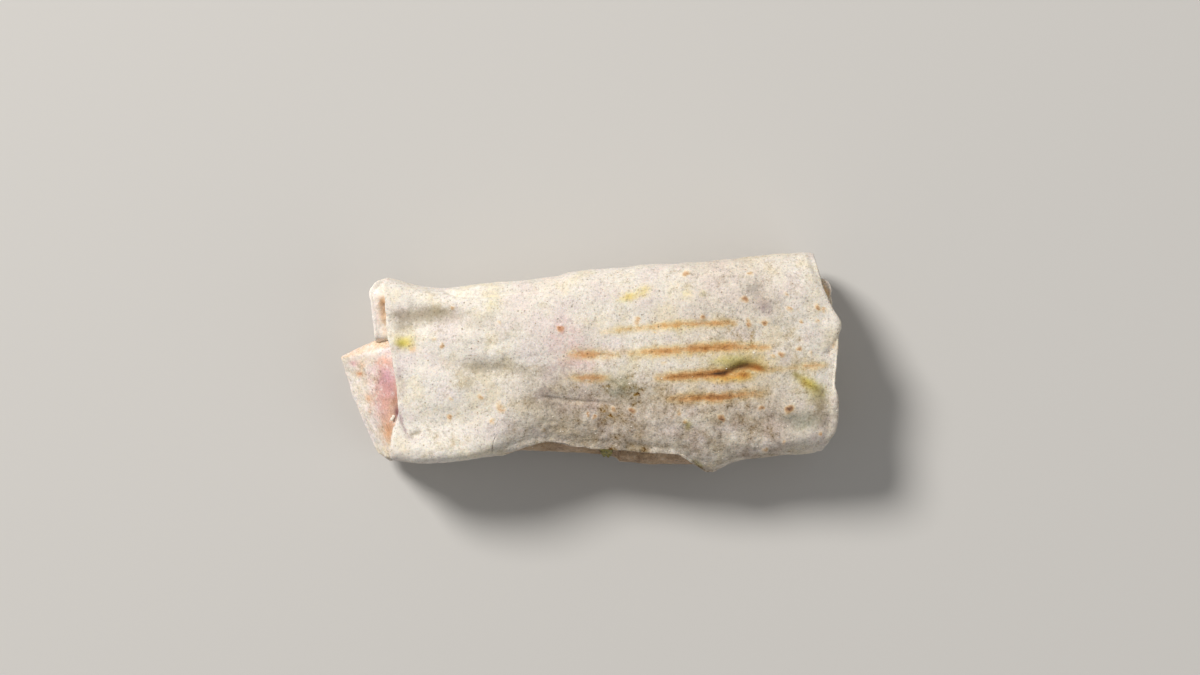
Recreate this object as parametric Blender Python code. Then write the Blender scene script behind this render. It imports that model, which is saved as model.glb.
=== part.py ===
"""Kibbeh wrap: one thin flatbread rolled round its filling and pressed flat on top.

The roll lies along X, with its back towards +Y and its seam along the front. At the left end a folded
flap sticks out, with an open pocket beside it; at the right end the bread is folded in. Every length is
in millimetres until a mesh is made, which is in metres with +Z up. The origin is under the middle of the
whole wrap, on the surface that it lies on.
"""
import math

import bmesh
import bpy
import numpy as np

MM = 0.001

# ---- driving dimensions -----------------------------------------------------------------------------
BREAD = 1.4            # thickness of the flatbread
HALF_LENGTH = 100.0    # middle to the flap's corner, and to the fold at the right
CROWN = 43.0           # height of the pressed top
BELLY = 0.46           # where the roll is widest, as a share of its height
SAG = 1.3              # how far the round underside would pass below the surface it is pressed flat on

# Outlines, each a line of (place, value) pairs. Seen from above, back and front edge by X.
BACK_LINE = ((-84, 34.3), (-76, 33.2), (-60, 30.8), (-44, 32.8), (-20, 34.4), (-4, 37.5), (20, 39.8),
             (44, 41.2), (60, 42.8), (76, 44.4), (100, 44.0))
FRONT_LINE = ((-84, 37.0), (-76, 39.4), (-62, 40.2), (-48, 38.9), (-36, 36.6), (-20, 36.8), (0, 38.0),
              (8, 38.8), (12, 40.2), (36, 41.2), (60, 39.4), (76, 37.4), (92, 35.4), (100, 33.5))
HEIGHT_LINE = ((-84, 0.85), (-60, 0.93), (-30, 0.985), (10, 1.0), (60, 1.0), (84, 0.98), (95, 0.945),
               (100, 0.92))
# How square the two upper shoulders are, by X: 2 is round, and more is boxier.
FRONT_SHOULDER = ((-84, 9.0), (-62, 9.5), (-46, 8.5), (-36, 5.5), (-28, 3.4), (-18, 2.4), (-8, 2.2),
                  (14, 2.25), (40, 2.6), (60, 2.9), (76, 3.5), (100, 4.0))
BACK_SHOULDER = ((-84, 2.9), (-40, 3.2), (-10, 3.5), (70, 3.5), (100, 3.2))
# Where the free edge of the last turn lies round the roll, in degrees above the front, by X.
SEAM_ANGLE = ((-84, -50), (-46, -46), (-35, -2), (-28, 24), (-22, 29), (-10, 31), (4, 32), (28, 30),
              (40, 18), (47.5, 0), (54, -26), (66, -46), (100, -50))
# The bread's two end edges seen from above, by Y.
LEFT_EDGE = ((-38, -79.1), (-31, -78.6), (-25.5, -77.4), (-19.5, -76.0), (-7, -77.3), (5, -78.7),
             (11.5, -80.3), (21.5, -81.4), (27, -82.0), (35, -82.0))
RIGHT_EDGE = ((-35.5, 93.0), (-31.5, 94.8), (-25, 97.0), (-13, 98.2), (-9.4, 97.5), (4.5, 98.5),
              (12, 98.9), (15.3, HALF_LENGTH), (21.5, 97.4), (28.3, 94.3), (36, 91.4), (44, 89.4))

# The corner of the last turn that hangs out at the front.
TIP_X = 49.0
TIP_REACH = 4.0
TIP_HALF_WIDTH = 13.0

# Forms pressed into the top or raised on it: middle X and Y, half length, half width, turn, height.
RELIEF = (
    (-67, 18.3, 17, 5.0, 0, -2.4),     # hollow beside the pocket
    (-66, 28.5, 22, 4.0, -12, 1.0),    # ridge along the back, left
    (-47, 10.5, 30, 4.5, 0, 0.9),      # swelling over the filling
    (-66, -3.5, 12, 5.5, 0, 1.1),      # swelling behind the flap
    (-47, -1.0, 22, 3.5, -4, -0.9),    # soft step in front of them
    (2, -14.5, 19, 4.0, -2, -1.2),     # crease where the bread is gathered
    (-60, -24.5, 24, 4.5, 2, -0.9),    # valley along the front, left
    (-60, -35.5, 24, 5.0, 2, 1.0),     # ridge outside it, up to the front edge
    (80, -22.5, 16, 3.6, 0, -0.7),     # the same along the front, right
    (80, -30.0, 16, 4.0, 0, 0.7),
)

# The end flap at the left: corners seen from above, with heights. It comes out just under the last turn,
# so the height of its root between the fold line and the front follows the roll.
FLAP_CORNER = (-HALF_LENGTH, 1.9, 20.0)
FLAP_FRONT = (-84.4, -37.0, 13.5)
FLAP_FRONT_ROOT = (-76.0, -38.4)
FLAP_FOLD_ROOT = (-74.0, 6.6)
FLAP_ROOT_DEPTH = 2.2                  # how far the root lies below the outside of the last turn
FLAP_BACK_ROOT = (-74.0, 13.8, 30.0)
FLAP_BACK_CORNER = (-98.6, 4.6, 18.0)
FLAP_EDGE_THICKNESS = 2.8              # the bread folded double
FLAP_ROOT_FLOOR = 8.0

# The pocket at the back of the left end: a wall of bread round a low floor.
POCKET_PATH = ((-80.5, 33.4), (-84.6, 32.6), (-87.2, 30.4), (-88.2, 27.8), (-87.4, 23.0), (-86.6, 16.0),
               (-85.8, 8.0))
POCKET_TOP = ((0, 25.0), (1, 27.5), (2, 30.0), (3, 32.0), (4, 33.0), (5, 31.5), (6, 27.5))
POCKET_FLOOR = 27.0
POCKET_FOOT = 13.0
POCKET_INNER = (-72.0, 31.4, 8.0)      # where it ends inside the roll: X, and Y at its two ends

# The small open fold at the back of the right end.
LOOP_PATH = ((87.0, 33.2), (92.0, 33.8), (95.4, 32.4), (96.6, 29.4), (96.4, 26.4), (96.8, 23.4),
             (94.0, 20.0), (88.0, 17.5))
LOOP_TOP = ((0, 33.0), (7, 30.0))
LOOP_FOOT = 18.0
LOOP_FLOOR = 28.0
LOOP_INNER = (80.0, 31.0, 18.0)

# The bit of parsley that sticks out of the seam.
LEAF_X = (3.6, 8.8)
LEAF_ANGLES = (26.0, 13.0)             # degrees above the front, at its root and its tip
LEAF_THICKNESS = 0.6
LEAF_CLEARANCE = 0.35
LEAF_WAVE = 0.25

# Mesh resolution.
STATIONS = 34
AROUND = 60
QUARTER = 40                           # steps in a quarter turn, where the way round is measured
TIP_STATIONS = 9


# ---- measuring --------------------------------------------------------------------------------------
def along(line, place):
    """The smooth value of a line of (place, value) pairs at a place, held level past its ends."""
    if place <= line[0][0]:
        return line[0][1]
    for i in range(len(line) - 1):
        (x0, y0), (x1, y1) = line[i], line[i + 1]
        if place <= x1:
            before = line[i - 1] if i else line[0]
            after = line[i + 2] if i + 2 < len(line) else line[-1]
            slope0 = (y1 - before[1]) / (x1 - before[0])
            slope1 = (after[1] - y0) / (after[0] - x0)
            run = x1 - x0
            t = (place - x0) / run
            return ((2 * t ** 3 - 3 * t ** 2 + 1) * y0 + (t ** 3 - 2 * t ** 2 + t) * run * slope0
                    + (3 * t ** 2 - 2 * t ** 3) * y1 + (t ** 3 - t ** 2) * run * slope1)
    return line[-1][1]


def mix(a, b, share):
    return a + (b - a) * share


def power(value, exponent):
    """A power that keeps the sign, for the rounded-box curve."""
    return math.copysign(abs(value) ** exponent, value)


def relief(x, y):
    """How far the top is raised or pressed in at a place seen from above."""
    total = 0.0
    for mid_x, mid_y, half_x, half_y, turn, height in RELIEF:
        angle = math.radians(turn)
        dx, dy = x - mid_x, y - mid_y
        u = (dx * math.cos(angle) + dy * math.sin(angle)) / half_x
        v = (dy * math.cos(angle) - dx * math.sin(angle)) / half_y
        total += height * math.exp(-u * u - v * v)
    return total


def tip_reach(x, angle):
    """How far the loose corner of the last turn stands out from the front."""
    near = max(0.0, 1 - abs(x - TIP_X) / TIP_HALF_WIDTH)
    return TIP_REACH * near ** 1.8 * math.exp(-(angle / math.radians(34)) ** 2)


def section(x, angle, inset=0.0):
    """(y, z) on the roll at x, at an angle that is 0 at the front, 90 degrees on top and 180 at the back."""
    back, front = along(BACK_LINE, x), along(FRONT_LINE, x)
    middle, half = (back - front) / 2, (back + front) / 2 - inset
    top = CROWN * along(HEIGHT_LINE, x)
    belly = top * BELLY
    cosine, sine = math.cos(angle), math.sin(angle)
    if sine >= 0:
        square = along(FRONT_SHOULDER if cosine > 0 else BACK_SHOULDER, x)
        y = middle - half * power(cosine, 2 / square)
        z = belly + (top - belly - inset) * power(sine, 2 / square)
        z += relief(x, y) * sine
    else:
        y = middle - half * power(cosine, 0.8)
        z = max(0.0, belly + (belly + SAG - inset) * power(sine, 0.8))
    turned = (angle + math.pi) % (2 * math.pi) - math.pi
    return y - tip_reach(x, turned), z


def top_height(x, y, depth):
    """Height of the roll's top at a place seen from above, a depth below its outside."""
    back, front = along(BACK_LINE, x), along(FRONT_LINE, x)
    middle, half = (back - front) / 2, (back + front) / 2 - depth
    top = CROWN * along(HEIGHT_LINE, x)
    belly = top * BELLY
    square = along(FRONT_SHOULDER if y < middle else BACK_SHOULDER, x)
    out = min(1.0, abs(y - middle) / half)
    return belly + (top - belly - depth) * (1 - out ** square) ** (1 / square)


# ---- mesh helpers -----------------------------------------------------------------------------------
def material(name, colour, roughness):
    """A plain Principled finish."""
    made = bpy.data.materials.new(name)
    made.use_nodes = True
    shader = made.node_tree.nodes["Principled BSDF"]
    shader.inputs["Base Color"].default_value = (*colour, 1.0)
    shader.inputs["Roughness"].default_value = roughness
    shader.inputs["Metallic"].default_value = 0.0
    return made


def add_object(name, bm, finish):
    """Turns a bmesh in millimetres into an object in metres, with its faces pointing out."""
    bmesh.ops.scale(bm, vec=(MM, MM, MM), verts=bm.verts)
    bmesh.ops.recalc_face_normals(bm, faces=bm.faces)
    mesh = bpy.data.meshes.new(name)
    bm.to_mesh(mesh)
    bm.free()
    mesh.materials.append(finish)
    mesh.shade_smooth()
    made = bpy.data.objects.new(name, mesh)
    bpy.context.scene.collection.objects.link(made)
    return made


def bridge_rings(bm, rings):
    """Joins neighbouring closed rings of vertices with quads."""
    for ring, following in zip(rings, rings[1:]):
        for i in range(len(ring)):
            j = (i + 1) % len(ring)
            bm.faces.new((ring[i], ring[j], following[j], following[i]))


def close_ring(bm, ring, middle):
    """Closes a ring with a fan round one point."""
    hub = bm.verts.new(middle)
    for i in range(len(ring)):
        bm.faces.new((ring[i], ring[(i + 1) % len(ring)], hub))


def slab(upper, lower):
    """A closed bmesh between two grids of points that have the same rows and columns."""
    bm = bmesh.new()
    top = [[bm.verts.new(p) for p in row] for row in upper]
    bottom = [[bm.verts.new(p) for p in row] for row in lower]
    rows, columns = len(upper), len(upper[0])
    for grid in (top, bottom):
        for i in range(rows - 1):
            for j in range(columns - 1):
                a, b, c, d = grid[i][j], grid[i][j + 1], grid[i + 1][j + 1], grid[i + 1][j]
                bm.faces.new((a, b, c))
                bm.faces.new((a, c, d))
    rim = [(0, j) for j in range(columns)] + [(i, columns - 1) for i in range(1, rows)]
    rim += [(rows - 1, j) for j in range(columns - 2, -1, -1)] + [(i, 0) for i in range(rows - 2, 0, -1)]
    for k, (i, j) in enumerate(rim):
        m, n = rim[(k + 1) % len(rim)]
        bm.faces.new((top[i][j], top[m][n], bottom[m][n], bottom[i][j]))
    return bm


# ---- the roll ---------------------------------------------------------------------------------------
# Rings that close an end: share of the way to the middle, and how far the bread stands out there. At
# the right the rim is a rounded fold with another turn's fold inside it; at the left it is a cut edge.
FOLD_RINGS = ((0.012, -1.5), (0.035, -0.4), (0.065, 0.0), (0.10, -0.5), (0.13, -2.0), (0.155, -3.3),
              (0.18, -1.8), (0.23, -0.9), (0.30, -1.6), (0.36, -3.4), (0.44, -2.0), (0.65, -1.6))
CUT_RINGS = ((0.036, 0.0), (0.045, -2.2), (0.085, -2.0), (0.12, 0.2), (0.20, 0.8), (0.40, 1.2),
             (0.70, 1.4))
FOLD_DEPTH = 3.2
RIGHT_MIDDLE = (96.0, 3.0, 19.0)
LEFT_MIDDLE = (-79.5, -2.0, 17.0)
UNDERCUT = 4.0                          # how far the ends draw in below the widest height
THIN_EDGE_SHARE = 0.08                  # share of the length over which the free edge thins out at an end
MERGE = 0.001                           # points nearer than this are one
SEAM_PULL = 0.32                        # share of the way round that the mesh follows the seam


def around(x):
    """Angles from just under the seam, down round the back and over the top to the seam again, an even
    way apart. The mesh follows the seam up and down near it, and stays where it is on the other side."""
    eased = [math.sin(math.pi / 2 * k / QUARTER) ** 2 for k in range(QUARTER)]
    falling = np.array([math.radians(90 * (quarter + step)) for quarter in range(-1, 5) for step in eased])
    points = np.array([section(x, -angle) for angle in falling])
    travel = np.append(0.0, np.cumsum(np.hypot(*np.diff(points, axis=0).T)))
    front, seam, end = np.interp((0.0, -math.radians(along(SEAM_ANGLE, x)), 2 * math.pi), falling, travel)
    share = np.arange(AROUND + 1) / AROUND
    near = np.maximum(0.0, 1 - np.minimum(share, 1 - share) / SEAM_PULL) ** 1.3
    return -np.interp(mix(front, end, share) - (front - seam) * near, travel, falling)


def turn_inset(k, share):
    """The last turn lies on the one before, so the roll grows by one thickness on the way round. Its free
    edge is pressed away to nothing at both ends of the roll."""
    return BREAD * (1 - k / AROUND) * min(1.0, min(share, 1 - share) / THIN_EDGE_SHARE)


def end_x(edge, nominal_x, angle, inset, draw):
    """Where the bread ends along X, at an angle round the roll."""
    y, z = section(nominal_x, angle, inset)
    belly = CROWN * along(HEIGHT_LINE, nominal_x) * BELLY
    below = max(0.0, 1 - z / belly)
    return along(edge, y) + draw * UNDERCUT * below ** 2


def station_shares():
    """Even stations along the roll, with more of them at the loose corner."""
    shares = {k / STATIONS for k in range(STATIONS + 1)}
    tip_share = (TIP_X - LEFT_EDGE[0][1]) / (RIGHT_EDGE[0][1] - LEFT_EDGE[0][1])
    half = 0.9 * TIP_HALF_WIDTH / (2 * HALF_LENGTH)
    shares = {s for s in shares if abs(s - tip_share) > half * 1.15}
    shares |= {tip_share + half * (2 * k / (TIP_STATIONS - 1) - 1) for k in range(TIP_STATIONS)}
    return sorted(shares)


def make_roll(finish):
    """The rolled bread, closed at both ends."""
    bm = bmesh.new()
    left_angles, right_angles = around(LEFT_EDGE[0][1]), around(RIGHT_EDGE[0][1])
    starts = [end_x(LEFT_EDGE, LEFT_EDGE[0][1], a, turn_inset(k, 0), 1) for k, a in enumerate(left_angles)]
    stops = [end_x(RIGHT_EDGE, RIGHT_EDGE[0][1], a, turn_inset(k, 1), -1) - FOLD_DEPTH
             for k, a in enumerate(right_angles)]

    def ring_at(share):
        angles = around(mix(LEFT_EDGE[0][1], RIGHT_EDGE[0][1], share))
        points = []
        for k, angle in enumerate(angles):
            x = mix(starts[k], stops[k], share)
            points.append((x, *section(x, angle, turn_inset(k, share))))
        return points

    sides = [ring_at(share) for share in station_shares()]

    def cap(ring, rims, steps, middle, outward):
        made = []
        for share, stand in steps:
            row = []
            for (_, y, z), rim in zip(ring, rims):
                x = mix(rim, middle[0], share ** 1.5) + outward * stand
                row.append((x, mix(y, middle[1], share), mix(z, middle[2], share)))
            made.append(row)
        return made

    left = cap(sides[0], starts, CUT_RINGS, LEFT_MIDDLE, -1)
    right = cap(sides[-1], [stop + FOLD_DEPTH for stop in stops], FOLD_RINGS, RIGHT_MIDDLE, 1)
    rings = [[bm.verts.new(p) for p in row] for row in list(reversed(left)) + sides + right]
    bridge_rings(bm, rings)
    left_hub = (LEFT_MIDDLE[0] - CUT_RINGS[-1][1], *LEFT_MIDDLE[1:])
    right_hub = (RIGHT_MIDDLE[0] + FOLD_RINGS[-1][1], *RIGHT_MIDDLE[1:])
    close_ring(bm, rings[0], left_hub)
    close_ring(bm, rings[-1], right_hub)
    bmesh.ops.remove_doubles(bm, verts=bm.verts, dist=MERGE)
    bmesh.ops.triangulate(bm, faces=[f for f in bm.faces if len(f.verts) > 3])
    return add_object("wrap_bread", bm, finish)


# ---- the left end -----------------------------------------------------------------------------------
FLAP_ROWS = 15
FLAP_CROWDING = 1.7                    # how much closer its rows lie towards the front
FLAP_COLUMNS = 7
FLAP_DISH = 1.2                        # how far the flap's top sinks in its middle
FLAP_BOW = 1.2                         # how far its left edge bows outwards
FLAP_FRONT_BOW = 1.6
EAR_ROWS = 7
EAR_INNER_ROWS = 4
EAR_BULGE = 0.7                        # how far the wall draws in at its foot, as a share of its reach
EAR_LEAST_DEPTH = 3.0                  # how far the floor stays below the wall's top edge


def blend(a, b, share):
    """A point between two points."""
    return tuple(mix(p, q, share) for p, q in zip(a, b))


def make_flap(finish):
    """The folded end flap: a sloping top, a narrow slope along its back, and a folded edge at the left."""
    upper, lower = [], []
    spine = [(0.0, FLAP_BACK_CORNER, FLAP_BACK_ROOT)]
    for k in range(FLAP_ROWS):
        share = 1 - (1 - k / (FLAP_ROWS - 1)) ** FLAP_CROWDING
        root_x, root_y = blend(FLAP_FOLD_ROOT, FLAP_FRONT_ROOT, share)
        root = (root_x, root_y, top_height(root_x, root_y, FLAP_ROOT_DEPTH))
        spine.append((share, blend(FLAP_CORNER, FLAP_FRONT, share), root))
    for row, (across, edge, root) in enumerate(spine):
        top_row, low_row = [], []
        for j in range(FLAP_COLUMNS):
            share = j / (FLAP_COLUMNS - 1)
            x, y, z = blend(edge, root, share)
            x -= FLAP_BOW * math.sin(math.pi * across) * (1 - share)
            dish = FLAP_DISH * math.sin(math.pi * share) * math.sin(math.pi * across)
            if row == len(spine) - 1:
                y -= FLAP_FRONT_BOW * math.sin(math.pi * share)
            top_row.append((x, y, z - dish))
            low_row.append((x, y, mix(edge[2] - FLAP_EDGE_THICKNESS, FLAP_ROOT_FLOOR, share)))
        upper.append(top_row)
        lower.append(low_row)
    return add_object("flap", slab(upper, lower), finish)


def ear(path, inner, foot, tops, floor):
    """A curved wall of bread that bulges out of the roll's end round a low floor. Its top edge follows a
    path seen from above, and it runs on into the roll as far as the inner line."""
    bm = bmesh.new()
    rings = []
    for k, (x, y) in enumerate(path):
        inner_x, inner_y = inner[0], mix(inner[1], inner[2], k / (len(path) - 1))
        reach = math.hypot(inner_x - x, inner_y - y)
        top = along(tops, k)
        low = min(floor, top - EAR_LEAST_DEPTH)

        def face(z):
            return EAR_BULGE * reach * (1 - ((z - foot) / (top - foot)) ** 0.5)

        outer = [mix(foot, top, row / (EAR_ROWS - 1)) for row in range(EAR_ROWS)]
        inner_wall = [mix(top, low, row / (EAR_INNER_ROWS - 1)) for row in range(EAR_INNER_ROWS)]
        outline = [(reach, foot + BREAD)] + [(face(z), z) for z in outer]
        outline += [(face(z) + BREAD, z) for z in inner_wall] + [(reach, low)]
        rings.append([bm.verts.new((mix(x, inner_x, s / reach), mix(y, inner_y, s / reach), z))
                      for s, z in outline])
    bridge_rings(bm, rings)
    bm.faces.new(rings[0])
    bm.faces.new(rings[-1])
    bmesh.ops.triangulate(bm, faces=bm.faces)
    return bm


def make_pocket(finish):
    bm = ear(POCKET_PATH, POCKET_INNER, POCKET_FOOT, POCKET_TOP, POCKET_FLOOR)
    return add_object("pocket", bm, finish)


def make_loop(finish):
    return add_object("end_loop", ear(LOOP_PATH, LOOP_INNER, LOOP_FOOT, LOOP_TOP, LOOP_FLOOR), finish)


def union(target, others):
    """Joins the others to the target in one Boolean union, applies it and removes them."""
    group = bpy.data.collections.new("joined")
    bpy.context.scene.collection.children.link(group)
    for other in others:
        bpy.context.scene.collection.objects.unlink(other)
        group.objects.link(other)
    joining = target.modifiers.new("join", "BOOLEAN")
    joining.operation = "UNION"
    joining.operand_type = "COLLECTION"
    joining.collection = group
    joining.solver = "EXACT"
    joined = bpy.data.meshes.new_from_object(target.evaluated_get(bpy.context.evaluated_depsgraph_get()))
    target.modifiers.remove(joining)
    target.data = joined
    for other in others:
        bpy.data.objects.remove(other)
    bpy.data.collections.remove(group)


# ---- the parsley ------------------------------------------------------------------------------------
LEAF_ROWS = 6
LEAF_COLUMNS = 5


def make_leaf(finish):
    """A thin wavy leaf tip that lies on the strip of bread under the seam."""
    upper, lower = [], []
    for i in range(LEAF_ROWS):
        share = i / (LEAF_ROWS - 1)
        angle = math.radians(mix(*LEAF_ANGLES, share))
        top_row, low_row = [], []
        for j in range(LEAF_COLUMNS):
            across = 2 * j / (LEAF_COLUMNS - 1) - 1
            narrowing = 1 - 0.7 * share ** 2
            x = mix(*LEAF_X, 0.5) + across * narrowing * (LEAF_X[1] - LEAF_X[0]) / 2
            lift = LEAF_CLEARANCE + LEAF_WAVE * (1 + math.sin(5 * share + 3 * across))
            low_row.append((x, *section(x, angle, BREAD - lift)))
            top_row.append((x, *section(x, angle, BREAD - lift - LEAF_THICKNESS)))
        upper.append(top_row)
        lower.append(low_row)
    return add_object("parsley_leaf", slab(upper, lower), finish)


def main():
    for existing in list(bpy.data.objects):
        bpy.data.objects.remove(existing, do_unlink=True)
    bread = material("flatbread", (0.80, 0.72, 0.60), 0.75)
    herb = material("parsley", (0.16, 0.26, 0.05), 0.55)
    roll = make_roll(bread)
    union(roll, [make_flap(bread), make_pocket(bread), make_loop(bread)])
    make_leaf(herb)


main()
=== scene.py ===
# %% [markdown]
# # The kibbeh wrap
# A kibbeh wrap is one thin flatbread rolled round its filling and pressed on a ribbed grill. Nothing of the
# filling shows, so the whole lesson is about bread: a spiral whose free edge lies along the front, a folded
# flap and an open pocket at the left end, folds at the right end, and a floury skin with toasted marks.
# First the imported model is loaded as a fixed frame. The bread pieces and the scattered crumbs below are
# held inside its box.

# %% The frame
import math

import bmesh
import bpy
import numpy as np
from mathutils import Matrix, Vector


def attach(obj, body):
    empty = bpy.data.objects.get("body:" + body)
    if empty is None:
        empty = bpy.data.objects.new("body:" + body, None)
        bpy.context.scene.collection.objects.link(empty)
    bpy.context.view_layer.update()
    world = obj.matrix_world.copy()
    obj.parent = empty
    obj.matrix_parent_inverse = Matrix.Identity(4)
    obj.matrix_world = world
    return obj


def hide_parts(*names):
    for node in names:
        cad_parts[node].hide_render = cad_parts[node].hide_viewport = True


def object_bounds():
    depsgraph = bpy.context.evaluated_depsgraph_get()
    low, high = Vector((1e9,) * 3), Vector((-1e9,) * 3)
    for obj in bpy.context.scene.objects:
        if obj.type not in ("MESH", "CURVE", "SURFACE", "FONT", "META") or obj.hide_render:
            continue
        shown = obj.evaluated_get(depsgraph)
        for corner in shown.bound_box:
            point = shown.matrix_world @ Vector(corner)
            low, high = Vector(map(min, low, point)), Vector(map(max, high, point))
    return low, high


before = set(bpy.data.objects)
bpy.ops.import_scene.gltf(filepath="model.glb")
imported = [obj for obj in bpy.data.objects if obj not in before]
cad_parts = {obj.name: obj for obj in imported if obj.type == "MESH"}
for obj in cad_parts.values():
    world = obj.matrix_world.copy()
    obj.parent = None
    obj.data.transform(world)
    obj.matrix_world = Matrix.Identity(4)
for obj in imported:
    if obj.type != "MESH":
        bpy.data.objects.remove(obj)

cad_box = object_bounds()
MM = 0.001
print("CAD box in mm:", [[round(c / MM, 1) for c in corner] for corner in cad_box])

# %% [markdown]
# ## Measuring the roll
# A pressed roll is neither a cylinder nor a box. It could be sculpted, but a rule is easier to change: at
# each place along the roll, a few lines say how far the back and the front stand out, how high the top
# is and how square the shoulders are. A rounded-box curve through those values is the section there.

# %% Driving sizes
BREAD = 1.4                 # thickness of the flatbread, in millimetres like everything below
CROWN = 43.0                # height of the pressed top
BELLY = 0.46                # where the roll is widest, as a share of its height
SAG = 1.3                   # how far the round underside would pass below the surface it lies on
ROOM = 0.15                 # what is kept free inside the box of the frame

BACK_LINE = ((-84, 34.3), (-76, 33.2), (-60, 30.8), (-44, 32.8), (-20, 34.4), (-4, 37.5), (20, 39.8),
             (44, 41.2), (60, 42.8), (76, 44.4), (100, 44.0))
FRONT_LINE = ((-84, 37.0), (-76, 39.4), (-62, 40.2), (-48, 38.9), (-36, 36.6), (-20, 36.8), (0, 38.0),
              (8, 38.8), (12, 40.2), (36, 41.2), (60, 39.4), (76, 37.4), (92, 35.4), (100, 33.5))
HEIGHT_LINE = ((-84, 0.85), (-60, 0.93), (-30, 0.985), (10, 1.0), (60, 1.0), (84, 0.98), (95, 0.945),
               (100, 0.92))
FRONT_SHOULDER = ((-84, 9.0), (-62, 9.5), (-46, 8.5), (-36, 5.5), (-28, 3.4), (-18, 2.4), (-8, 2.2),
                  (14, 2.25), (40, 2.6), (60, 2.9), (76, 3.5), (100, 4.0))
BACK_SHOULDER = ((-84, 2.9), (-40, 3.2), (-10, 3.5), (70, 3.5), (100, 3.2))
SEAM_ANGLE = ((-84, -50), (-50, -46), (-40, -8), (-34.5, 22), (-28, 33), (-21.5, 35.5), (-12.5, 33.5),
              (-8, 30), (4, 29.5), (12, 32.5), (29, 33), (36, 30.5), (44, 10), (47.5, 0), (54, -26),
              (66, -46), (100, -50))
LEFT_EDGE = ((-38, -79.1), (-31, -78.6), (-25.5, -77.4), (-19.5, -76.0), (-7, -77.3), (5, -78.7),
             (11.5, -80.3), (21.5, -81.4), (27, -82.0), (35, -82.0))
RIGHT_EDGE = ((-35.5, 92.9), (-31.5, 95.0), (-26, 97.9), (-13, 98.2), (-9.4, 97.5), (4.5, 98.5),
              (12, 98.9), (15.3, 99.6), (21.5, 96.5), (28.3, 93.4), (36, 91.2), (44, 89.4))
TIP_X, TIP_REACH, TIP_HALF_WIDTH = 49.0, 4.0, 13.0
TIP_POWER, TIP_SPREAD = 1.8, 34.0   # how pointed the loose corner is, and how many degrees it spreads
UNDER_ROUNDING = 0.8                # power of the curve under the belly
print("belly of the roll at", round(CROWN * BELLY, 1), "mm")


# %% Curves
def along(line, place):
    """The smooth value of a line of (place, value) pairs at many places, held level past its ends."""
    places, values = np.array(line, float).T
    slopes = np.gradient(values, places)
    slopes[1:-1] = (values[2:] - values[:-2]) / (places[2:] - places[:-2])
    place = np.clip(place, places[0], places[-1])
    i = np.clip(np.searchsorted(places, place, side="right") - 1, 0, len(places) - 2)
    run = places[i + 1] - places[i]
    t = (place - places[i]) / run
    return ((2 * t ** 3 - 3 * t ** 2 + 1) * values[i] + (t ** 3 - 2 * t ** 2 + t) * run * slopes[i]
            + (3 * t ** 2 - 2 * t ** 3) * values[i + 1] + (t ** 3 - t ** 2) * run * slopes[i + 1])


def mix(a, b, share):
    return a + (b - a) * share


def smooth(start, stop, value):
    """A soft step from 0 at start to 1 at stop."""
    t = np.clip((value - start) / (stop - start), 0.0, 1.0)
    return t * t * (3 - 2 * t)


def power(value, exponent):
    """A power that keeps the sign, for the rounded-box curve."""
    return np.sign(value) * np.abs(value) ** exponent


def ripple(place, wave, seed):
    """A smooth uneven line between -1 and 1: three sines with seeded phases."""
    phases = np.random.default_rng(seed).uniform(0, 2 * math.pi, 3)
    waves = [np.sin(2 * math.pi * place * 1.9 ** k / wave + phases[k]) * 0.55 ** k for k in range(3)]
    return sum(waves) / 1.85


print("halfway along, the back lies at", round(float(along(BACK_LINE, 0.0)), 1), "mm")

# %% [markdown]
# ## Hollows, swellings and creases
# Seen from above, the bread rises over the filling and sinks beside it. Each soft form is one turned
# bell curve with a middle, two half sizes, a turn in degrees and a height. A crease is a short path: the
# bread sinks in a narrow valley along it. Both are plain functions of a place seen from above.

# %% Forms of the top
SOFT_FORMS = (
    (-67, 18.3, 17, 5.0, 0, -2.4),      # hollow beside the pocket
    (-66, 28.5, 22, 4.0, -12, 1.0),     # ridge along the back, left
    (-47, 10.5, 30, 4.5, 0, 0.9),       # swelling over the filling
    (-66, -3.5, 12, 5.5, 0, 1.1),       # swelling behind the flap
    (-47, -1.0, 22, 3.5, -4, -0.9),     # soft step in front of them
    (2, -14.5, 19, 4.0, -2, -1.2),      # crease where the bread is gathered
    (-60, -24.5, 24, 4.5, 2, -0.9),     # valley along the front, left
    (-60, -35.5, 24, 5.0, 2, 1.0),      # ridge outside it, up to the front edge
    (80, -22.5, 16, 3.6, 0, -0.7),      # the same along the front, right
    (80, -30.0, 16, 4.0, 0, 0.7),
)
FINE_FORMS = (
    (-63, 26.0, 20, 2.4, -14, 0.9),     # crest of the ridge at the back
    (-38, -3.0, 22, 3.0, -3, -0.7),     # foot of the swelling
    (-30, 5.0, 16, 3.0, 4, 0.7),        # crest over that
    (-60, -12.0, 9, 5.0, 20, 0.5),
    (-58, -35.5, 25, 4.0, 2, 0.7),      # crest of the ridge at the front, left
    (-52, -19.0, 14, 5.0, 8, -0.6),
    (84, -29.5, 12, 3.0, 0, 0.5),       # and right
    (-30, -22.0, 16, 5.0, 8, 0.6),
    (58.5, -2.0, 5, 1.6, 28, -0.5),     # scorched pucker
    (60.5, -5.2, 5, 1.8, 8, 0.7),
    (97.0, -4.0, 3.5, 9.0, 0, -1.3),    # lower layer in front of the knob
    (96.5, 14.0, 3.0, 4.0, 0, 0.8),     # the knob itself
    (78, 27, 12, 7, -20, 0.6),
    (30, 24, 22, 6, 4, 0.5),
    (66, 12, 14, 5, 0, -0.5),
    (2, 20, 16, 5, -8, -0.5),
)
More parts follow.
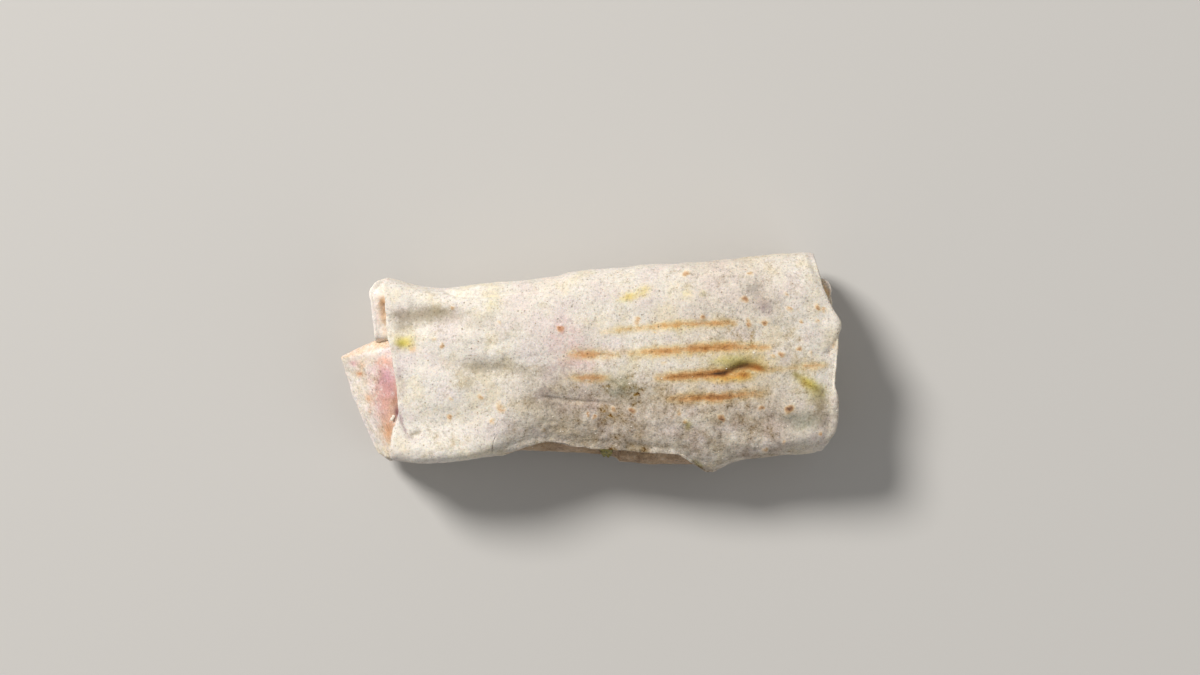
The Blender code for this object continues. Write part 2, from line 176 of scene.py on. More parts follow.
CREASES = (  # path, depth, half width
    (((-59.6, 31.5), (-58.0, 29.4), (-53.2, 27.6), (-43.6, 27.0), (-30.0, 28.4), (-18.6, 29.2)), 1.5, 0.9),
    (((-20.0, -13.2), (-12.0, -14.6), (-5.0, -15.4), (5.0, -15.8), (11.0, -17.4)), 0.7, 0.8),
    (((-76.2, -18.6), (-75.4, -22.0), (-73.9, -25.5), (-72.2, -28.4)), 1.1, 0.5),
    (((-71.9, -28.8), (-69.0, -28.4), (-66.0, -26.6)), 0.7, 0.9),
    (((-33.4, 3.8), (-33.5, 1.4), (-34.2, -0.6)), 0.45, 0.4),
    (((-12.6, 16.4), (-12.2, 14.9)), 0.5, 0.45),
    (((99.5, 11.3), (96.9, 7.1), (95.0, 4.3), (92.5, 3.1)), 0.8, 1.2),
    (((98.2, -9.5), (94.5, -9.9)), 0.7, 0.7),
    (((52.4, -4.2), (56.0, -3.2), (59.5, -1.8), (63.0, -1.4), (66.8, -2.8)), 0.4, 0.8),
    (((20.0, -25.2), (38.0, -26.6), (52.0, -25.8), (70.0, -28.4), (88.6, -26.0)), 0.3, 2.4),
    (((87.8, 41.8), (90.9, 34.6), (92.8, 28.0)), 0.5, 1.2),
)
TAPER, TAPER_LEAD = 3.0, 0.3    # a crease fades over this length at both ends, and starts so far outside


# %% Relief seen from above
def bell(x, y, form):
    """One soft form's share at a place: 1 in its middle, fading to 0."""
    mid_x, mid_y, half_x, half_y, turn = form[:5]
    angle = math.radians(turn)
    dx, dy = x - mid_x, y - mid_y
    u = (dx * math.cos(angle) + dy * math.sin(angle)) / half_x
    v = (dy * math.cos(angle) - dx * math.sin(angle)) / half_y
    return np.exp(-u * u - v * v)


def soft_relief(x, y, forms):
    return sum(form[5] * bell(x, y, form) for form in forms)


def path_distance(x, y, path):
    """How far a place is from a path, and how far along the path its nearest point lies."""
    nearest, reached, passed = np.full(np.shape(x), 1e9), np.zeros(np.shape(x)), 0.0
    for (x0, y0), (x1, y1) in zip(path, path[1:]):
        length = math.hypot(x1 - x0, y1 - y0)
        t = np.clip(((x - x0) * (x1 - x0) + (y - y0) * (y1 - y0)) / length ** 2, 0, 1)
        distance = np.hypot(x - mix(x0, x1, t), y - mix(y0, y1, t))
        closer = distance < nearest
        nearest = np.where(closer, distance, nearest)
        reached = np.where(closer, passed + t * length, reached)
        passed += length
    return nearest, reached, passed


def crease_relief(x, y):
    total = np.zeros(np.shape(x))
    for path, depth, width in CREASES:
        distance, reached, length = path_distance(x, y, path)
        taper = min(TAPER, length / 3)
        lead = -TAPER_LEAD * taper
        ends = smooth(lead, taper, reached) * smooth(lead, taper, length - reached)
        total -= depth * ends * np.exp(-(distance / width) ** 2)
    return total


# %% The section
def section(x, angle, inset=0.0):
    """(y, z) on the roll at x, at an angle: 0 at the front, 90 degrees on top and 180 at the back."""
    back, front = along(BACK_LINE, x), along(FRONT_LINE, x)
    middle, half = (back - front) / 2, (back + front) / 2 - inset
    top = CROWN * along(HEIGHT_LINE, x)
    belly = top * BELLY
    cosine, sine = np.cos(angle), np.sin(angle)
    square = 2 / np.where(cosine > 0, along(FRONT_SHOULDER, x), along(BACK_SHOULDER, x))
    over_y = middle - half * power(cosine, square)
    over_z = belly + (top - belly - inset) * power(sine, square) + soft_relief(x, over_y, SOFT_FORMS) * sine
    under_y = middle - half * power(cosine, UNDER_ROUNDING)
    under_z = np.maximum(0.0, belly + (belly + SAG - inset) * power(sine, UNDER_ROUNDING))
    upper = sine >= 0
    return np.where(upper, over_y, under_y), np.where(upper, over_z, under_z)


def top_height(x, y, depth):
    """Height of the roll's top at a place seen from above, a depth below its outside."""
    back, front = along(BACK_LINE, x), along(FRONT_LINE, x)
    middle, half = (back - front) / 2, (back + front) / 2 - depth
    top = CROWN * along(HEIGHT_LINE, x)
    belly = top * BELLY
    square = np.where(y < middle, along(FRONT_SHOULDER, x), along(BACK_SHOULDER, x))
    out = np.minimum(1.0, np.abs(y - middle) / half)
    return belly + (top - belly - depth) * (1 - out ** square) ** (1 / square)


middle_y, middle_z = section(0.0, np.radians([0.0, 90.0, 180.0]))
print("section in the middle: front", round(middle_y[0], 1), "top", round(middle_z[1], 1),
      "back", round(middle_y[2], 1))

# %% [markdown]
# ## Spreading the mesh
# The top is what one looks at, so its squares are small, and those underneath are coarser. Even angles
# would crowd the points in the round parts, so the columns are spread by arc length instead, weighted by
# the size wanted there. The first column follows the seam, and the others lean towards it only nearby.

# %% Columns round the roll
STATIONS, COLUMNS = 278, 232
FINE, COARSE = 0.60, 1.9
SEAM_PULL, SEAM_PULL_POWER = 0.32, 1.3  # share of the turn whose columns lean towards the seam
DENSE_POINTS = 170                      # points of each quarter turn that is measured for the spreading
COARSE_BELOW, FINE_ABOVE = -0.45, 0.2   # sines of the angles between which the squares shrink
HOOK = (2.6, 1.7, 0.8)          # how far the bread under the free edge is still modelled
NOSE = ((0.22, 0.10), (0.38, 0.42), (0.26, 0.78))    # rounding of the free edge: reach, share of BREAD
THIN_EDGE_SHARE = 0.08


def quarter_clusters(first, last, points):
    """Angles from first to last quarter turn, closer together at each quarter."""
    steps = np.sin(np.linspace(0, math.pi / 2, points, endpoint=False)) ** 2
    quarters = [np.radians(90.0 * (q - steps)) for q in range(first, last, -1)]
    return np.append(np.concatenate(quarters), math.radians(90.0 * last))


def column_angles(x):
    """Angles of all columns at one place: under the free edge, round the roll, its nose and underside."""
    dense = quarter_clusters(1, -5, DENSE_POINTS)
    y, z = section(x, dense)
    size = mix(COARSE, FINE, smooth(COARSE_BELOW, FINE_ABOVE, np.sin((dense[1:] + dense[:-1]) / 2)))
    travel = np.append(0.0, np.cumsum(np.hypot(np.diff(y), np.diff(z)) / size))
    falling = -dense
    at = lambda angle: np.interp(-angle, falling, travel)
    seam = math.radians(along(SEAM_ANGLE, x))
    turn = at(-2 * math.pi) - at(0.0)
    share = np.arange(COLUMNS + 1) / COLUMNS
    near = np.maximum(0.0, 1 - np.minimum(share, 1 - share) / SEAM_PULL) ** SEAM_PULL_POWER
    main = at(0.0) + turn * share - (at(0.0) - at(seam)) * near
    before = main[0] - np.array(HOOK) / FINE
    nose = main[-1] + np.array([reach for reach, _ in NOSE]) / FINE
    under = main[-1] - np.array([0.0, *reversed(HOOK)]) / FINE
    return np.interp(np.concatenate((before, main, nose, under)), travel, falling) * -1


turn_share = np.concatenate((np.zeros(len(HOOK)), np.arange(COLUMNS + 1) / COLUMNS,
                             np.ones(len(NOSE) + len(HOOK) + 1)))
print("columns:", len(turn_share), " stations:", STATIONS)

# %% [markdown]
# ## The free edge, the corner and the two ends
# The last turn lies on the one before, so the roll grows by one thickness on the way round. Its free edge
# is rounded and stands a little off the bread below, which is what draws the soft dark line of the seam.
# One corner of it hangs out at the front. At an end the turns show as nested folds: going inwards from
# the rim, a rule says how far the bread stands out, and each fold follows the spiral.

# %% Sizes of the edge and the ends
UNDERCUT = 4.0                          # how far the ends draw in below the belly
LEFT_MIDDLE, RIGHT_MIDDLE = (-79.5, -2.0, 17.0), (95.0, 3.0, 19.0)
SEAM_GAP, SEAM_LIFT = (0.25, 0.8), (0.35, 1.0)
SEAM_GAP_WAVE, SEAM_LIFT_WAVE = 41.0, 29.0
GAP_CLOSED, LIFT_STARTS = 0.03, 0.965   # shares of the turn between which the bread lies close
LOOSE_CORNER = (0.80, 0.93)             # shares of the turn over which the loose corner bends out
EDGE_BREAD = 0.04                       # share of its thickness that the bread keeps at the very ends
LEFT_PITCH, RIGHT_PITCH = 3.1, 4.4      # bread met on the way in, for each turn
LEFT_GROOVE, RIGHT_GROOVE = 1.6, 2.2    # depth of the grooves between the turns
POCKET_PLACE = (-228.0, 0.0, 34.0, 1.0, 0.0)    # the pocket opens here, in degrees round the roll
STRIP_STEP_X, STRIP_STEP = 9.2, 1.2     # where the turn below ends along the seam, and by how much
STRIP_TURN, STRIP_END = (0.02, 0.22), (40.0, 46.0)  # where that step dies away, round and along the roll
LEFT_RIM = ((0.10, 0.32), (0.35, 0.46), (0.75, 0.46), (1.10, 0.30), (1.32, -0.10), (1.40, -1.2),
            (1.45, -2.6), (1.65, -3.2), (1.90, -2.8), (2.02, -1.4))
RIGHT_RIM = ((0.12, 1.0), (0.42, 1.9), (0.95, 2.7), (1.6, 3.1), (2.3, 3.15), (2.9, 2.8), (3.4, 2.1),
             (3.75, 1.1), (3.9, -0.4), (4.1, -1.0))
INNER_STEPS, INNER_REACH = 22, 13.5     # rings from the rim inwards, and how far in they go
RIM_DEPTH, MIDDLE_DEPTH = 8.0, 30.0     # how far in the rim's sharpness and the pull to the middle reach
CLOSING_SHARES = (0.3, 0.62, 0.86)
print("turns met on the way in:", round(INNER_REACH / LEFT_PITCH, 1), "left,",
      round(INNER_REACH / RIGHT_PITCH, 1), "right")


# %% The free edge and the corner
def end_x(edge, x, angle, inset, draw):
    """Where the bread ends along X. The ends draw in a little below the belly."""
    y, z = section(x, angle, inset)
    belly = CROWN * along(HEIGHT_LINE, x) * BELLY
    return along(edge, y) + draw * UNDERCUT * np.maximum(0.0, 1 - z / belly) ** 2


def tip_reach(x, angle):
    """How far the loose corner of the last turn stands out from the front."""
    near = np.maximum(0.0, 1 - np.abs(x - TIP_X) / TIP_HALF_WIDTH)
    turned = (angle + math.pi) % (2 * math.pi) - math.pi
    return TIP_REACH * near ** TIP_POWER * np.exp(-(turned / math.radians(TIP_SPREAD)) ** 2)


def roll_insets(x, share_along):
    """How far each column lies below the outermost surface, and how much of the loose corner it takes."""
    from_end = np.minimum(share_along, 1 - share_along) / THIN_EDGE_SHARE
    fade = mix(EDGE_BREAD, 1.0, np.minimum(1.0, from_end))
    bread = BREAD * fade
    gap = mix(*SEAM_GAP, 0.5 + 0.5 * ripple(x, SEAM_GAP_WAVE, 5)) * fade
    lift = mix(*SEAM_LIFT, 0.5 + 0.5 * ripple(x, SEAM_LIFT_WAVE, 8)) * fade
    before, after = len(HOOK), len(HOOK) + COLUMNS + 1
    inset = bread * (1 - turn_share)
    inset[:after] += gap * (1 - smooth(0.0, GAP_CLOSED, turn_share[:after]))
    inset[:after] -= STRIP_STEP * smooth(-0.4, 0.4, x - STRIP_STEP_X) * fade * (
        1 - smooth(*STRIP_TURN, turn_share[:after])) * (1 - smooth(*STRIP_END, x))
    inset[before:after] -= lift * smooth(LIFT_STARTS, 1.0, turn_share[before:after])
    for k, (_, depth) in enumerate(NOSE):
        inset[after + k] = depth * bread - lift
    under = after + len(NOSE)
    back_up = np.linspace(0, 1, len(HOOK) + 1)
    inset[under:] = 0.98 * bread - lift * (1 - back_up)
    inset[:before] = np.maximum(inset[:before], inset[under + 1:][::-1] + 0.02)
    corner = smooth(*LOOSE_CORNER, turn_share)
    corner[under:] *= (1 - back_up) ** 2
    return inset, corner


# %% Closing the ends
def nested_folds(e, pitch, depth):
    """Rounded folds with narrow grooves between them, along a spiral."""
    phase = e / pitch - turn_share
    wobble = 1 + 0.25 * np.sin(2 * math.pi * (3 * turn_share + 0.13 * e))
    return depth * wobble * (np.abs(np.sin(math.pi * phase)) ** 0.5 - 1)


def left_stand(e):
    """How far the inner turns stand out at the left, less beside the pocket."""
    pocket = bell(np.degrees(angles_left), 0.0, POCKET_PLACE)
    rise = smooth(2.0, 3.6, e) * (0.5 - 1.3 * pocket) + 0.06 * (e - 3.0)
    return rise - 1.0 * pocket + nested_folds(e, LEFT_PITCH, LEFT_GROOVE)


def right_stand(e):
    """How far the inner turns stand out at the right, where they sink and pucker towards the middle."""
    pleats = 0.45 * np.sin(2 * math.pi * (7 * turn_share + 0.1 * e)) * smooth(6.0, 11.0, e)
    return mix(1.2, -2.4, smooth(4.0, 14.0, e)) + nested_folds(e - 4.0, RIGHT_PITCH, RIGHT_GROOVE) + pleats


def cap(x_nominal, angles, insets, rims, rim_steps, stand, outward, middle, tight=1.0):
    """The rings that close one end, from the rim to the middle; tight sharpens the rim."""
    rings = []
    steps = [(e, np.full(len(angles), s)) for e, s in rim_steps]
    steps += [(e, stand(e)) for e in np.linspace(rim_steps[-1][0] + 0.2, INNER_REACH, INNER_STEPS)]
    for e, out in steps:
        y, z = section(x_nominal, angles, insets + e * mix(tight, 1.0, min(1.0, e / RIM_DEPTH)))
        x = mix(rims, middle[0], smooth(0.0, MIDDLE_DEPTH, e)) + outward * out
        rings.append(np.stack((x, y, z), axis=1))
    hub = np.array([rings[-1][:, 0].mean() + outward * 0.4, middle[1], rings[-1][:, 2].mean()])
    rings += [mix(rings[-1], hub, share) for share in CLOSING_SHARES]
    return rings, hub


def closed_loft(rings, start_hub, end_hub):
    """Vertices and faces of a closed body through rings of equal length, with a fan at both ends."""
    rings = np.asarray(rings)
    count, size = rings.shape[:2]
    corner = np.arange(count * size).reshape(count, size)
    following = np.roll(corner, -1, axis=1)
    quads = np.stack((corner[:-1], following[:-1], following[1:], corner[1:]), axis=-1).reshape(-1, 4)
    start, end = count * size, count * size + 1
    fans = [(int(b), int(a), start) for a, b in zip(corner[0], following[0])]
    fans += [(int(a), int(b), end) for a, b in zip(corner[-1], following[-1])]
    vertices = np.vstack((rings.reshape(-1, 3), start_hub, end_hub))
    return vertices, quads.tolist() + fans


# %% Lofting the roll
LEFT_X, RIGHT_X = LEFT_EDGE[0][1], RIGHT_EDGE[0][1]
RIM_ROUNDING, FOLD_ROUNDING, RIM_WAVE, RIM_WAVE_LENGTH = 0.45, 3.2, 0.22, 47.0
angles_left, angles_right = column_angles(LEFT_X), column_angles(RIGHT_X)
insets_left, insets_right = roll_insets(LEFT_X, 0.0)[0], roll_insets(RIGHT_X, 1.0)[0]
rim_left = end_x(LEFT_EDGE, LEFT_X, angles_left, insets_left, 1) + RIM_ROUNDING
rim_left += RIM_WAVE * ripple(np.degrees(angles_left), RIM_WAVE_LENGTH, 3)
rim_right = end_x(RIGHT_EDGE, RIGHT_X, angles_right, insets_right, -1) - FOLD_ROUNDING

side_rings = []
for share in np.linspace(0.0, 1.0, STATIONS):
    nominal = mix(LEFT_X, RIGHT_X, share)
    x = mix(rim_left, rim_right, share)
    angle = column_angles(nominal)
    inset, corner = roll_insets(nominal, share)
    y, z = section(x, angle, inset)
    side_rings.append(np.stack((x, y - tip_reach(x, angle) * corner, z), axis=1))

left_rings, left_hub = cap(LEFT_X, angles_left, insets_left, rim_left, LEFT_RIM, left_stand, -1,
                           LEFT_MIDDLE)
right_rings, right_hub = cap(RIGHT_X, angles_right, insets_right, rim_right, RIGHT_RIM, right_stand, 1,
                             RIGHT_MIDDLE, tight=0.15)
roll_mesh = closed_loft(left_rings[::-1] + side_rings + right_rings, left_hub, right_hub)
print("roll:", len(roll_mesh[0]), "points,", len(roll_mesh[1]), "faces")


# %% Making a piece of plain mesh
def new_object(name, data):
    made = bpy.data.objects.new(name, data)
    bpy.context.scene.collection.objects.link(made)
    return made


def new_piece(name, vertices, faces):
    """An object from points in millimetres, in metres, with its faces pointing out."""
    bm = bmesh.new()
    made = [bm.verts.new(point) for point in (np.asarray(vertices) * MM).tolist()]
    for face in faces:
        bm.faces.new([made[i] for i in face])
    bmesh.ops.recalc_face_normals(bm, faces=bm.faces)
    mesh = bpy.data.meshes.new(name)
    bm.to_mesh(mesh)
    bm.free()
    mesh.shade_smooth()
    return new_object(name, mesh)


def lofted_piece(name, rings):
    return new_piece(name, *closed_loft(rings, rings[0].mean(0), rings[-1].mean(0)))


def points_of(piece):
    flat = np.empty(len(piece.data.vertices) * 3)
    piece.data.vertices.foreach_get("co", flat)
    return flat.reshape(-1, 3) / MM


def normals_of(piece):
    flat = np.empty(len(piece.data.vertices) * 3)
    piece.data.vertex_normals.foreach_get("vector", flat)
    return flat.reshape(-1, 3)


def move_points(piece, points):
    piece.data.vertices.foreach_set("co", (points * MM).ravel())
    piece.data.update()


# %% [markdown]
# ## Marks of the grill
# A ribbed grill presses bars into the bread and toasts them, and small bubbles of dough brown at their
# tips. Both are relief as well as colour, so they are kept in one list each, in millimetres seen from
# above. A bar is a path whose points also say how dark it is there; a bubble has a middle, a radius and
# how brown it is.

# %% Bars and bubbles
GRILL_BARS = (  # points (x, y, toasting) along a bar, half width
    (((5.0, 12.4, 0.12), (14.0, 13.2, 0.30), (20.5, 13.9, 0.20), (28.0, 14.6, 0.38), (35.0, 15.3, 0.50),
      (43.8, 15.7, 0.42), (50.0, 15.8, 0.52), (57.0, 15.9, 0.40)), 1.25),
    (((-8.0, 3.7, 0.15), (-4.0, 3.6, 0.50), (2.0, 3.4, 0.52), (8.0, 3.4, 0.25), (14.0, 3.6, 0.10),
      (20.3, 4.0, 0.34), (26.0, 4.5, 0.60), (31.0, 5.0, 0.70), (36.5, 5.3, 0.52), (42.0, 5.7, 0.80),
      (50.4, 6.3, 0.88), (57.0, 6.4, 0.72), (64.0, 6.3, 0.45), (70.5, 6.1, 0.30)), 1.6),
    (((-7.0, -5.7, 0.2), (-2.0, -5.9, 0.45), (3.5, -6.0, 0.42), (7.5, -6.0, 0.15)), 1.5),
    (((27.0, -5.7, 0.30), (33.0, -5.6, 0.72), (39.0, -5.1, 0.90), (45.6, -4.5, 1.15), (50.0, -4.1, 1.30),
      (53.5, -3.9, 1.10), (57.0, -3.2, 0.60)), 1.5),
    (((60.0, -1.6, 0.60), (64.0, -1.6, 0.85), (67.5, -2.4, 0.60), (72.0, -2.6, 0.25), (78.0, -2.2, 0.15),
      (83.0, -1.6, 0.25), (88.4, -1.3, 0.42), (93.5, -0.9, 0.20)), 1.4),
    (((31.0, -14.3, 0.20), (36.0, -14.0, 0.50), (43.0, -13.8, 0.75), (51.0, -13.7, 0.88),
      (55.5, -13.2, 0.60), (61.0, -12.3, 0.45), (68.0, -11.9, 0.28)), 1.6),
    (((56.0, -4.8, 0.50), (60.0, -4.7, 0.72), (62.8, -4.3, 0.45)), 1.7),         # orange below the scorch
    (((48.5, -6.2, 0.25), (52.5, -6.0, 0.42), (55.5, -5.6, 0.25)), 1.3),
    (((50.5, -4.3, 0.8), (55.0, -3.2, 0.7), (58.7, -1.8, 0.6), (62.4, -1.0, 0.5)), 1.2),    # scorch
)
UNDER_BARS = tuple((((-52.0 + 9 * k % 23, -19.0 + 9.5 * k, 0.2), (-20.0, -18.6 + 9.5 * k, 0.8),
                     (24.0 - 7 * k % 19, -18.2 + 9.5 * k, 0.9), (62.0, -18.0 + 9.5 * k, 0.3)), 1.3)
                   for k in range(5))
BUBBLES = (  # x, y, radius, toasting
    (78.9, -18.6, 1.9, 1.15), (67.8, -17.8, 1.3, 0.9), (52.3, -21.6, 1.3, 1.0), (17.2, -19.0, 1.6, 0.9),
    (9.6, -19.0, 1.4, 0.5), (35.2, -19.4, 1.2, 0.5), (37.8, -23.2, 1.0, 0.7), (2.0, -21.4, 0.9, 0.8),
    (61.0, 25.1, 1.8, 0.85), (68.9, 16.2, 1.5, 0.95), (63.1, 15.7, 1.3, 0.85), (44.8, 18.0, 1.3, 0.8),
    (18.6, 16.9, 1.5, 0.65), (38.3, 35.8, 1.5, 0.7), (63.9, 35.6, 1.2, 0.5), (79.2, 21.1, 1.1, 0.6),
    (77.7, 27.3, 1.0, 0.5), (90.4, 22.2, 1.3, 0.8), (92.8, 21.0, 0.9, 0.7), (90.0, 16.6, 1.1, 0.6),
    (82.8, 5.8, 1.0, 0.9), (76.2, 3.4, 1.5, 0.8), (73.0, 2.6, 1.1, 0.5), (87.6, 3.6, 0.9, 0.4),
    (91.6, -27.9, 1.0, 0.7), (77.3, -31.3, 0.9, 0.5), (69.8, -34.8, 1.2, 0.6), (29.0, 0.0, 1.2, 0.4),
    (-35.2, -17.4, 1.9, 0.55), (-38.4, -23.2, 1.4, 0.45), (-55.6, -21.8, 1.4, 0.85),
    (-58.5, 6.9, 0.9, 0.85), (-61.4, 9.5, 1.1, 0.6), (-11.6, 13.4, 1.3, 0.9), (-43.5, -13.6, 1.3, 0.55),
    (-55.0, -14.0, 0.9, 0.4), (-0.5, -20.4, 0.8, 0.7), (2.2, -26.4, 0.7, 0.4), (-18.5, -26.6, 1.1, 0.35),
    (-54.5, 22.0, 0.8, 0.5), (26.0, 12.0, 0.6, 0.4), (-36.0, 16.0, 0.8, 0.3), (83.6, 16.6, 0.9, 0.5),
)


print("bars:", len(GRILL_BARS), "on top and", len(UNDER_BARS), "below; blisters:", len(BUBBLES))


# %% How toasted a place is
def bar_toast(x, y, bars=GRILL_BARS):
    """How toasted a place is by the bars, 0 to about 1.4."""
    toast = np.zeros(np.shape(x))
    for points, width in bars:
        path = [(px, py) for px, py, _ in points]
        distance, reached, _ = path_distance(x, y, path)
        steps = np.append(0.0, np.cumsum([math.dist(a, b) for a, b in zip(path, path[1:])]))
        strength = np.interp(reached, steps, [s for _, _, s in points])
        toast = np.maximum(toast, strength * np.exp(-np.abs(distance / width) ** 1.6))
    return toast


def bubble_field(x, y, reach):
    """How high the blisters stand at a place, from 0 to 1, and how browned a place is by their rings."""
    field, browned = np.zeros(np.shape(x)), np.zeros(np.shape(x))
    for k, (mid_x, mid_y, radius, brown) in enumerate(BUBBLES):
        dx, dy = x - mid_x, (y - mid_y) * (1.0 + 0.3 * math.sin(2.4 * k))
        angle = np.arctan2(dy, dx)
        edge = reach * radius * (1 + 0.22 * np.sin(2 * angle + k) + 0.14 * np.sin(3 * angle + 2.1 * k))
        out = np.hypot(dx, dy) / edge
        ring = np.exp(-((out - 0.55) / 0.34) ** 2) * (0.60 + 0.40 * np.sin(angle + 1.7 * k))
        browned = np.maximum(browned, brown * np.maximum(ring, 0.85 * np.exp(-(out / 0.42) ** 2)))
        field = np.maximum(field, np.exp(-out ** 2))
    return field, browned


# %% Pressing the relief into the roll
BLISTER_HEIGHT, BLISTER_REACH, BAR_DEPTH = 0.34, 0.9, 0.28

roll = new_piece("bread_roll", *roll_mesh)
points, normals = points_of(roll), normals_of(roll)
top_x, top_y = points[:, 0], points[:, 1]
facing_up = smooth(0.02, 0.45, normals[:, 2])
height = soft_relief(top_x, top_y, FINE_FORMS) + crease_relief(top_x, top_y)
height += BLISTER_HEIGHT * bubble_field(top_x, top_y, BLISTER_REACH)[0]
height -= BAR_DEPTH * np.minimum(1.0, bar_toast(top_x, top_y))
move_points(roll, points + normals * (height * facing_up)[:, None])
print("relief between", round(height.min(), 1), "and", round(height.max(), 1), "mm")

# %% [markdown]
# ## The end flap
# At the left the folded end has come out of the roll. It is bread folded double, so its left edge is one
# thick rounded fold, its top slopes from the roll down to that edge, and a narrow slope falls away behind
# a fold line. It is lofted from the back to the front: each ring goes round one slice of the flap.

# %% The flap
FLAP_CORNER, FLAP_FRONT = (-99.2, 2.0, 20.0), (-84.6, -36.6, 13.5)
FLAP_FOLD_ROOT, FLAP_FRONT_ROOT = (-74.0, 6.6), (-76.0, -38.4)
FLAP_BACK_ROOT, FLAP_BACK_CORNER = (-74.0, 13.8, 30.0), (-98.9, 2.9, 18.7)
FLAP_ROOT_DEPTH = 1.7       # its root lies this far below the outside of the last turn
FLAP_FOLD = 2.9             # thickness of its left edge
FLAP_FLOOR = 8.0
FLAP_DISH, FLAP_BOW, FLAP_FRONT_BOW = 0.3, 1.2, 1.6
FLAP_RIPPLE, FLAP_RIPPLE_WAVE, FLAP_EDGE_DROP, FLAP_EDGE_SHARE = 0.32, 11.0, 0.9, 0.10
FLAP_CROWDING = 1.6         # how much closer its slices lie towards the front


def place3(a, b, share):
    return mix(np.array(a, float), np.array(b, float), share)


def flap_slice(edge, root, across):
    """One closed ring round a slice of the flap, from its root over the top and back underneath."""
    out = np.linspace(0.0, 1.0, 46)
    top = np.array([place3(root, edge, share) for share in out])
    bulge = np.sin(math.pi * out)
    arch, inside = math.sin(math.pi * across), min(1.0, across * 6)
    top[:, 2] -= FLAP_DISH * bulge * arch * (1 - 0.4 * out)
    top[:, 2] += FLAP_RIPPLE * ripple(out * 26 + 30 * across, FLAP_RIPPLE_WAVE, 4) * bulge ** 0.5 * inside
    top[:, 2] -= FLAP_EDGE_DROP * np.exp(-((1 - out) / FLAP_EDGE_SHARE) ** 2) * inside
    top[:, 1] -= FLAP_FRONT_BOW * smooth(0.86, 1.0, across) * bulge
    top[:, 0] -= FLAP_BOW * arch * out
    edge_point = top[-1]
    turn = np.linspace(0.0, math.pi, 9)[1:-1]
    outwards = np.array(edge, float) - np.array(root, float)
    outwards[2] = 0.0
    outwards /= np.linalg.norm(outwards)
    nose = [edge_point + outwards * 0.5 * FLAP_FOLD * math.sin(a) * 0.6
            - np.array((0, 0, FLAP_FOLD / 2 * (1 - math.cos(a)))) for a in turn]
    below = top[::-1][::3].copy()
    below[:, 2] = mix(edge_point[2] - FLAP_FOLD, FLAP_FLOOR, 1 - out[::-1][::3])
    return np.vstack((top, nose, below))


def flap_root(share):
    """The flap comes out just under the last turn, so its root is as high as the roll is there."""
    x, y = (mix(back, front, share) for back, front in zip(FLAP_FOLD_ROOT, FLAP_FRONT_ROOT))
    return x, y, top_height(x, y, FLAP_ROOT_DEPTH)


def flap_rings():
    """Slices from the slope at the back to the front, with a small rounding at both ends."""
    rings = []
    for share in np.linspace(0.0, 1.0, 10, endpoint=False):
        rings.append(flap_slice(place3(FLAP_BACK_CORNER, FLAP_CORNER, share),
                                place3(FLAP_BACK_ROOT, flap_root(0.0), share), 0.0))
    for share in 1 - (1 - np.linspace(0.0, 1.0, 76)) ** FLAP_CROWDING:
        rings.append(flap_slice(place3(FLAP_CORNER, FLAP_FRONT, share), flap_root(share), share))
    first, last = rings[0], rings[-1]
    for shrink, reach in ((0.35, 0.5), (0.75, 1.1)):
        rings.insert(0, mix(first, first.mean(0), shrink) + (0, 0.5 * reach, 0))
        rings.append(mix(last, last.mean(0), shrink) - (0, reach, 0))
    return rings


flap = lofted_piece("end_flap", flap_rings())
print("flap:", len(flap.data.vertices), "points")

# %% [markdown]
# ## The open pocket and the loop
# At both ends a little bread stands up on its edge round a hollow. One rule makes both: a wall whose lip
# follows a path seen from above, bulging out of the roll from its foot, with a rounded lip and a floor
# behind it that runs into the roll.

# %% The pocket and the loop
POCKET_PATH = ((-81.0, 34.0), (-84.6, 33.0), (-87.2, 30.6), (-88.1, 27.8), (-87.3, 23.0), (-86.6, 16.0),
               (-85.8, 8.0))
POCKET_TOP = ((0, 20.0), (1, 25.5), (2, 29.3), (3, 31.3), (4, 31.5), (5, 30.9), (5.75, 30.3), (6, 26.0))
POCKET_FLOOR = ((0, 20.5), (1, 26.5), (2, 31.0), (2.7, 31.4), (3.3, 31.2), (4.5, 31.4), (5, 30.8),
                (5.75, 30.2), (6, 25.9))
POCKET_LEVEL = ((0, 24.0), (1, 29.0), (2, 33.0), (2.7, 32.6), (3.3, 29.0), (4.3, 30.4), (5, 30.3),
                (5.75, 30.0), (6, 25.6))
POCKET_FOOT, POCKET_INNER, POCKET_LIP = 12.0, (-76.5, 31.4, 8.0), 2.2
LOOP_PATH = ((87.0, 33.2), (92.0, 33.6), (95.2, 32.2), (96.4, 29.4), (96.2, 26.4), (96.6, 23.4),
             (94.0, 20.0), (88.0, 17.5))
LOOP_TOP = ((0, 33.0), (7, 30.0))
LOOP_FLOOR = ((0, 32.3), (2, 31.7), (4, 31.1), (5, 30.7), (7, 29.7))
LOOP_LEVEL = ((0, 31.8), (7, 29.4))
LOOP_FOOT, LOOP_INNER, LOOP_LIP = 18.0, (80.0, 31.0, 18.0), 1.3
LIP_RIPPLE, LIP_RIPPLE_WAVE, WALL_LEAN = 0.3, 1.7, 0.55


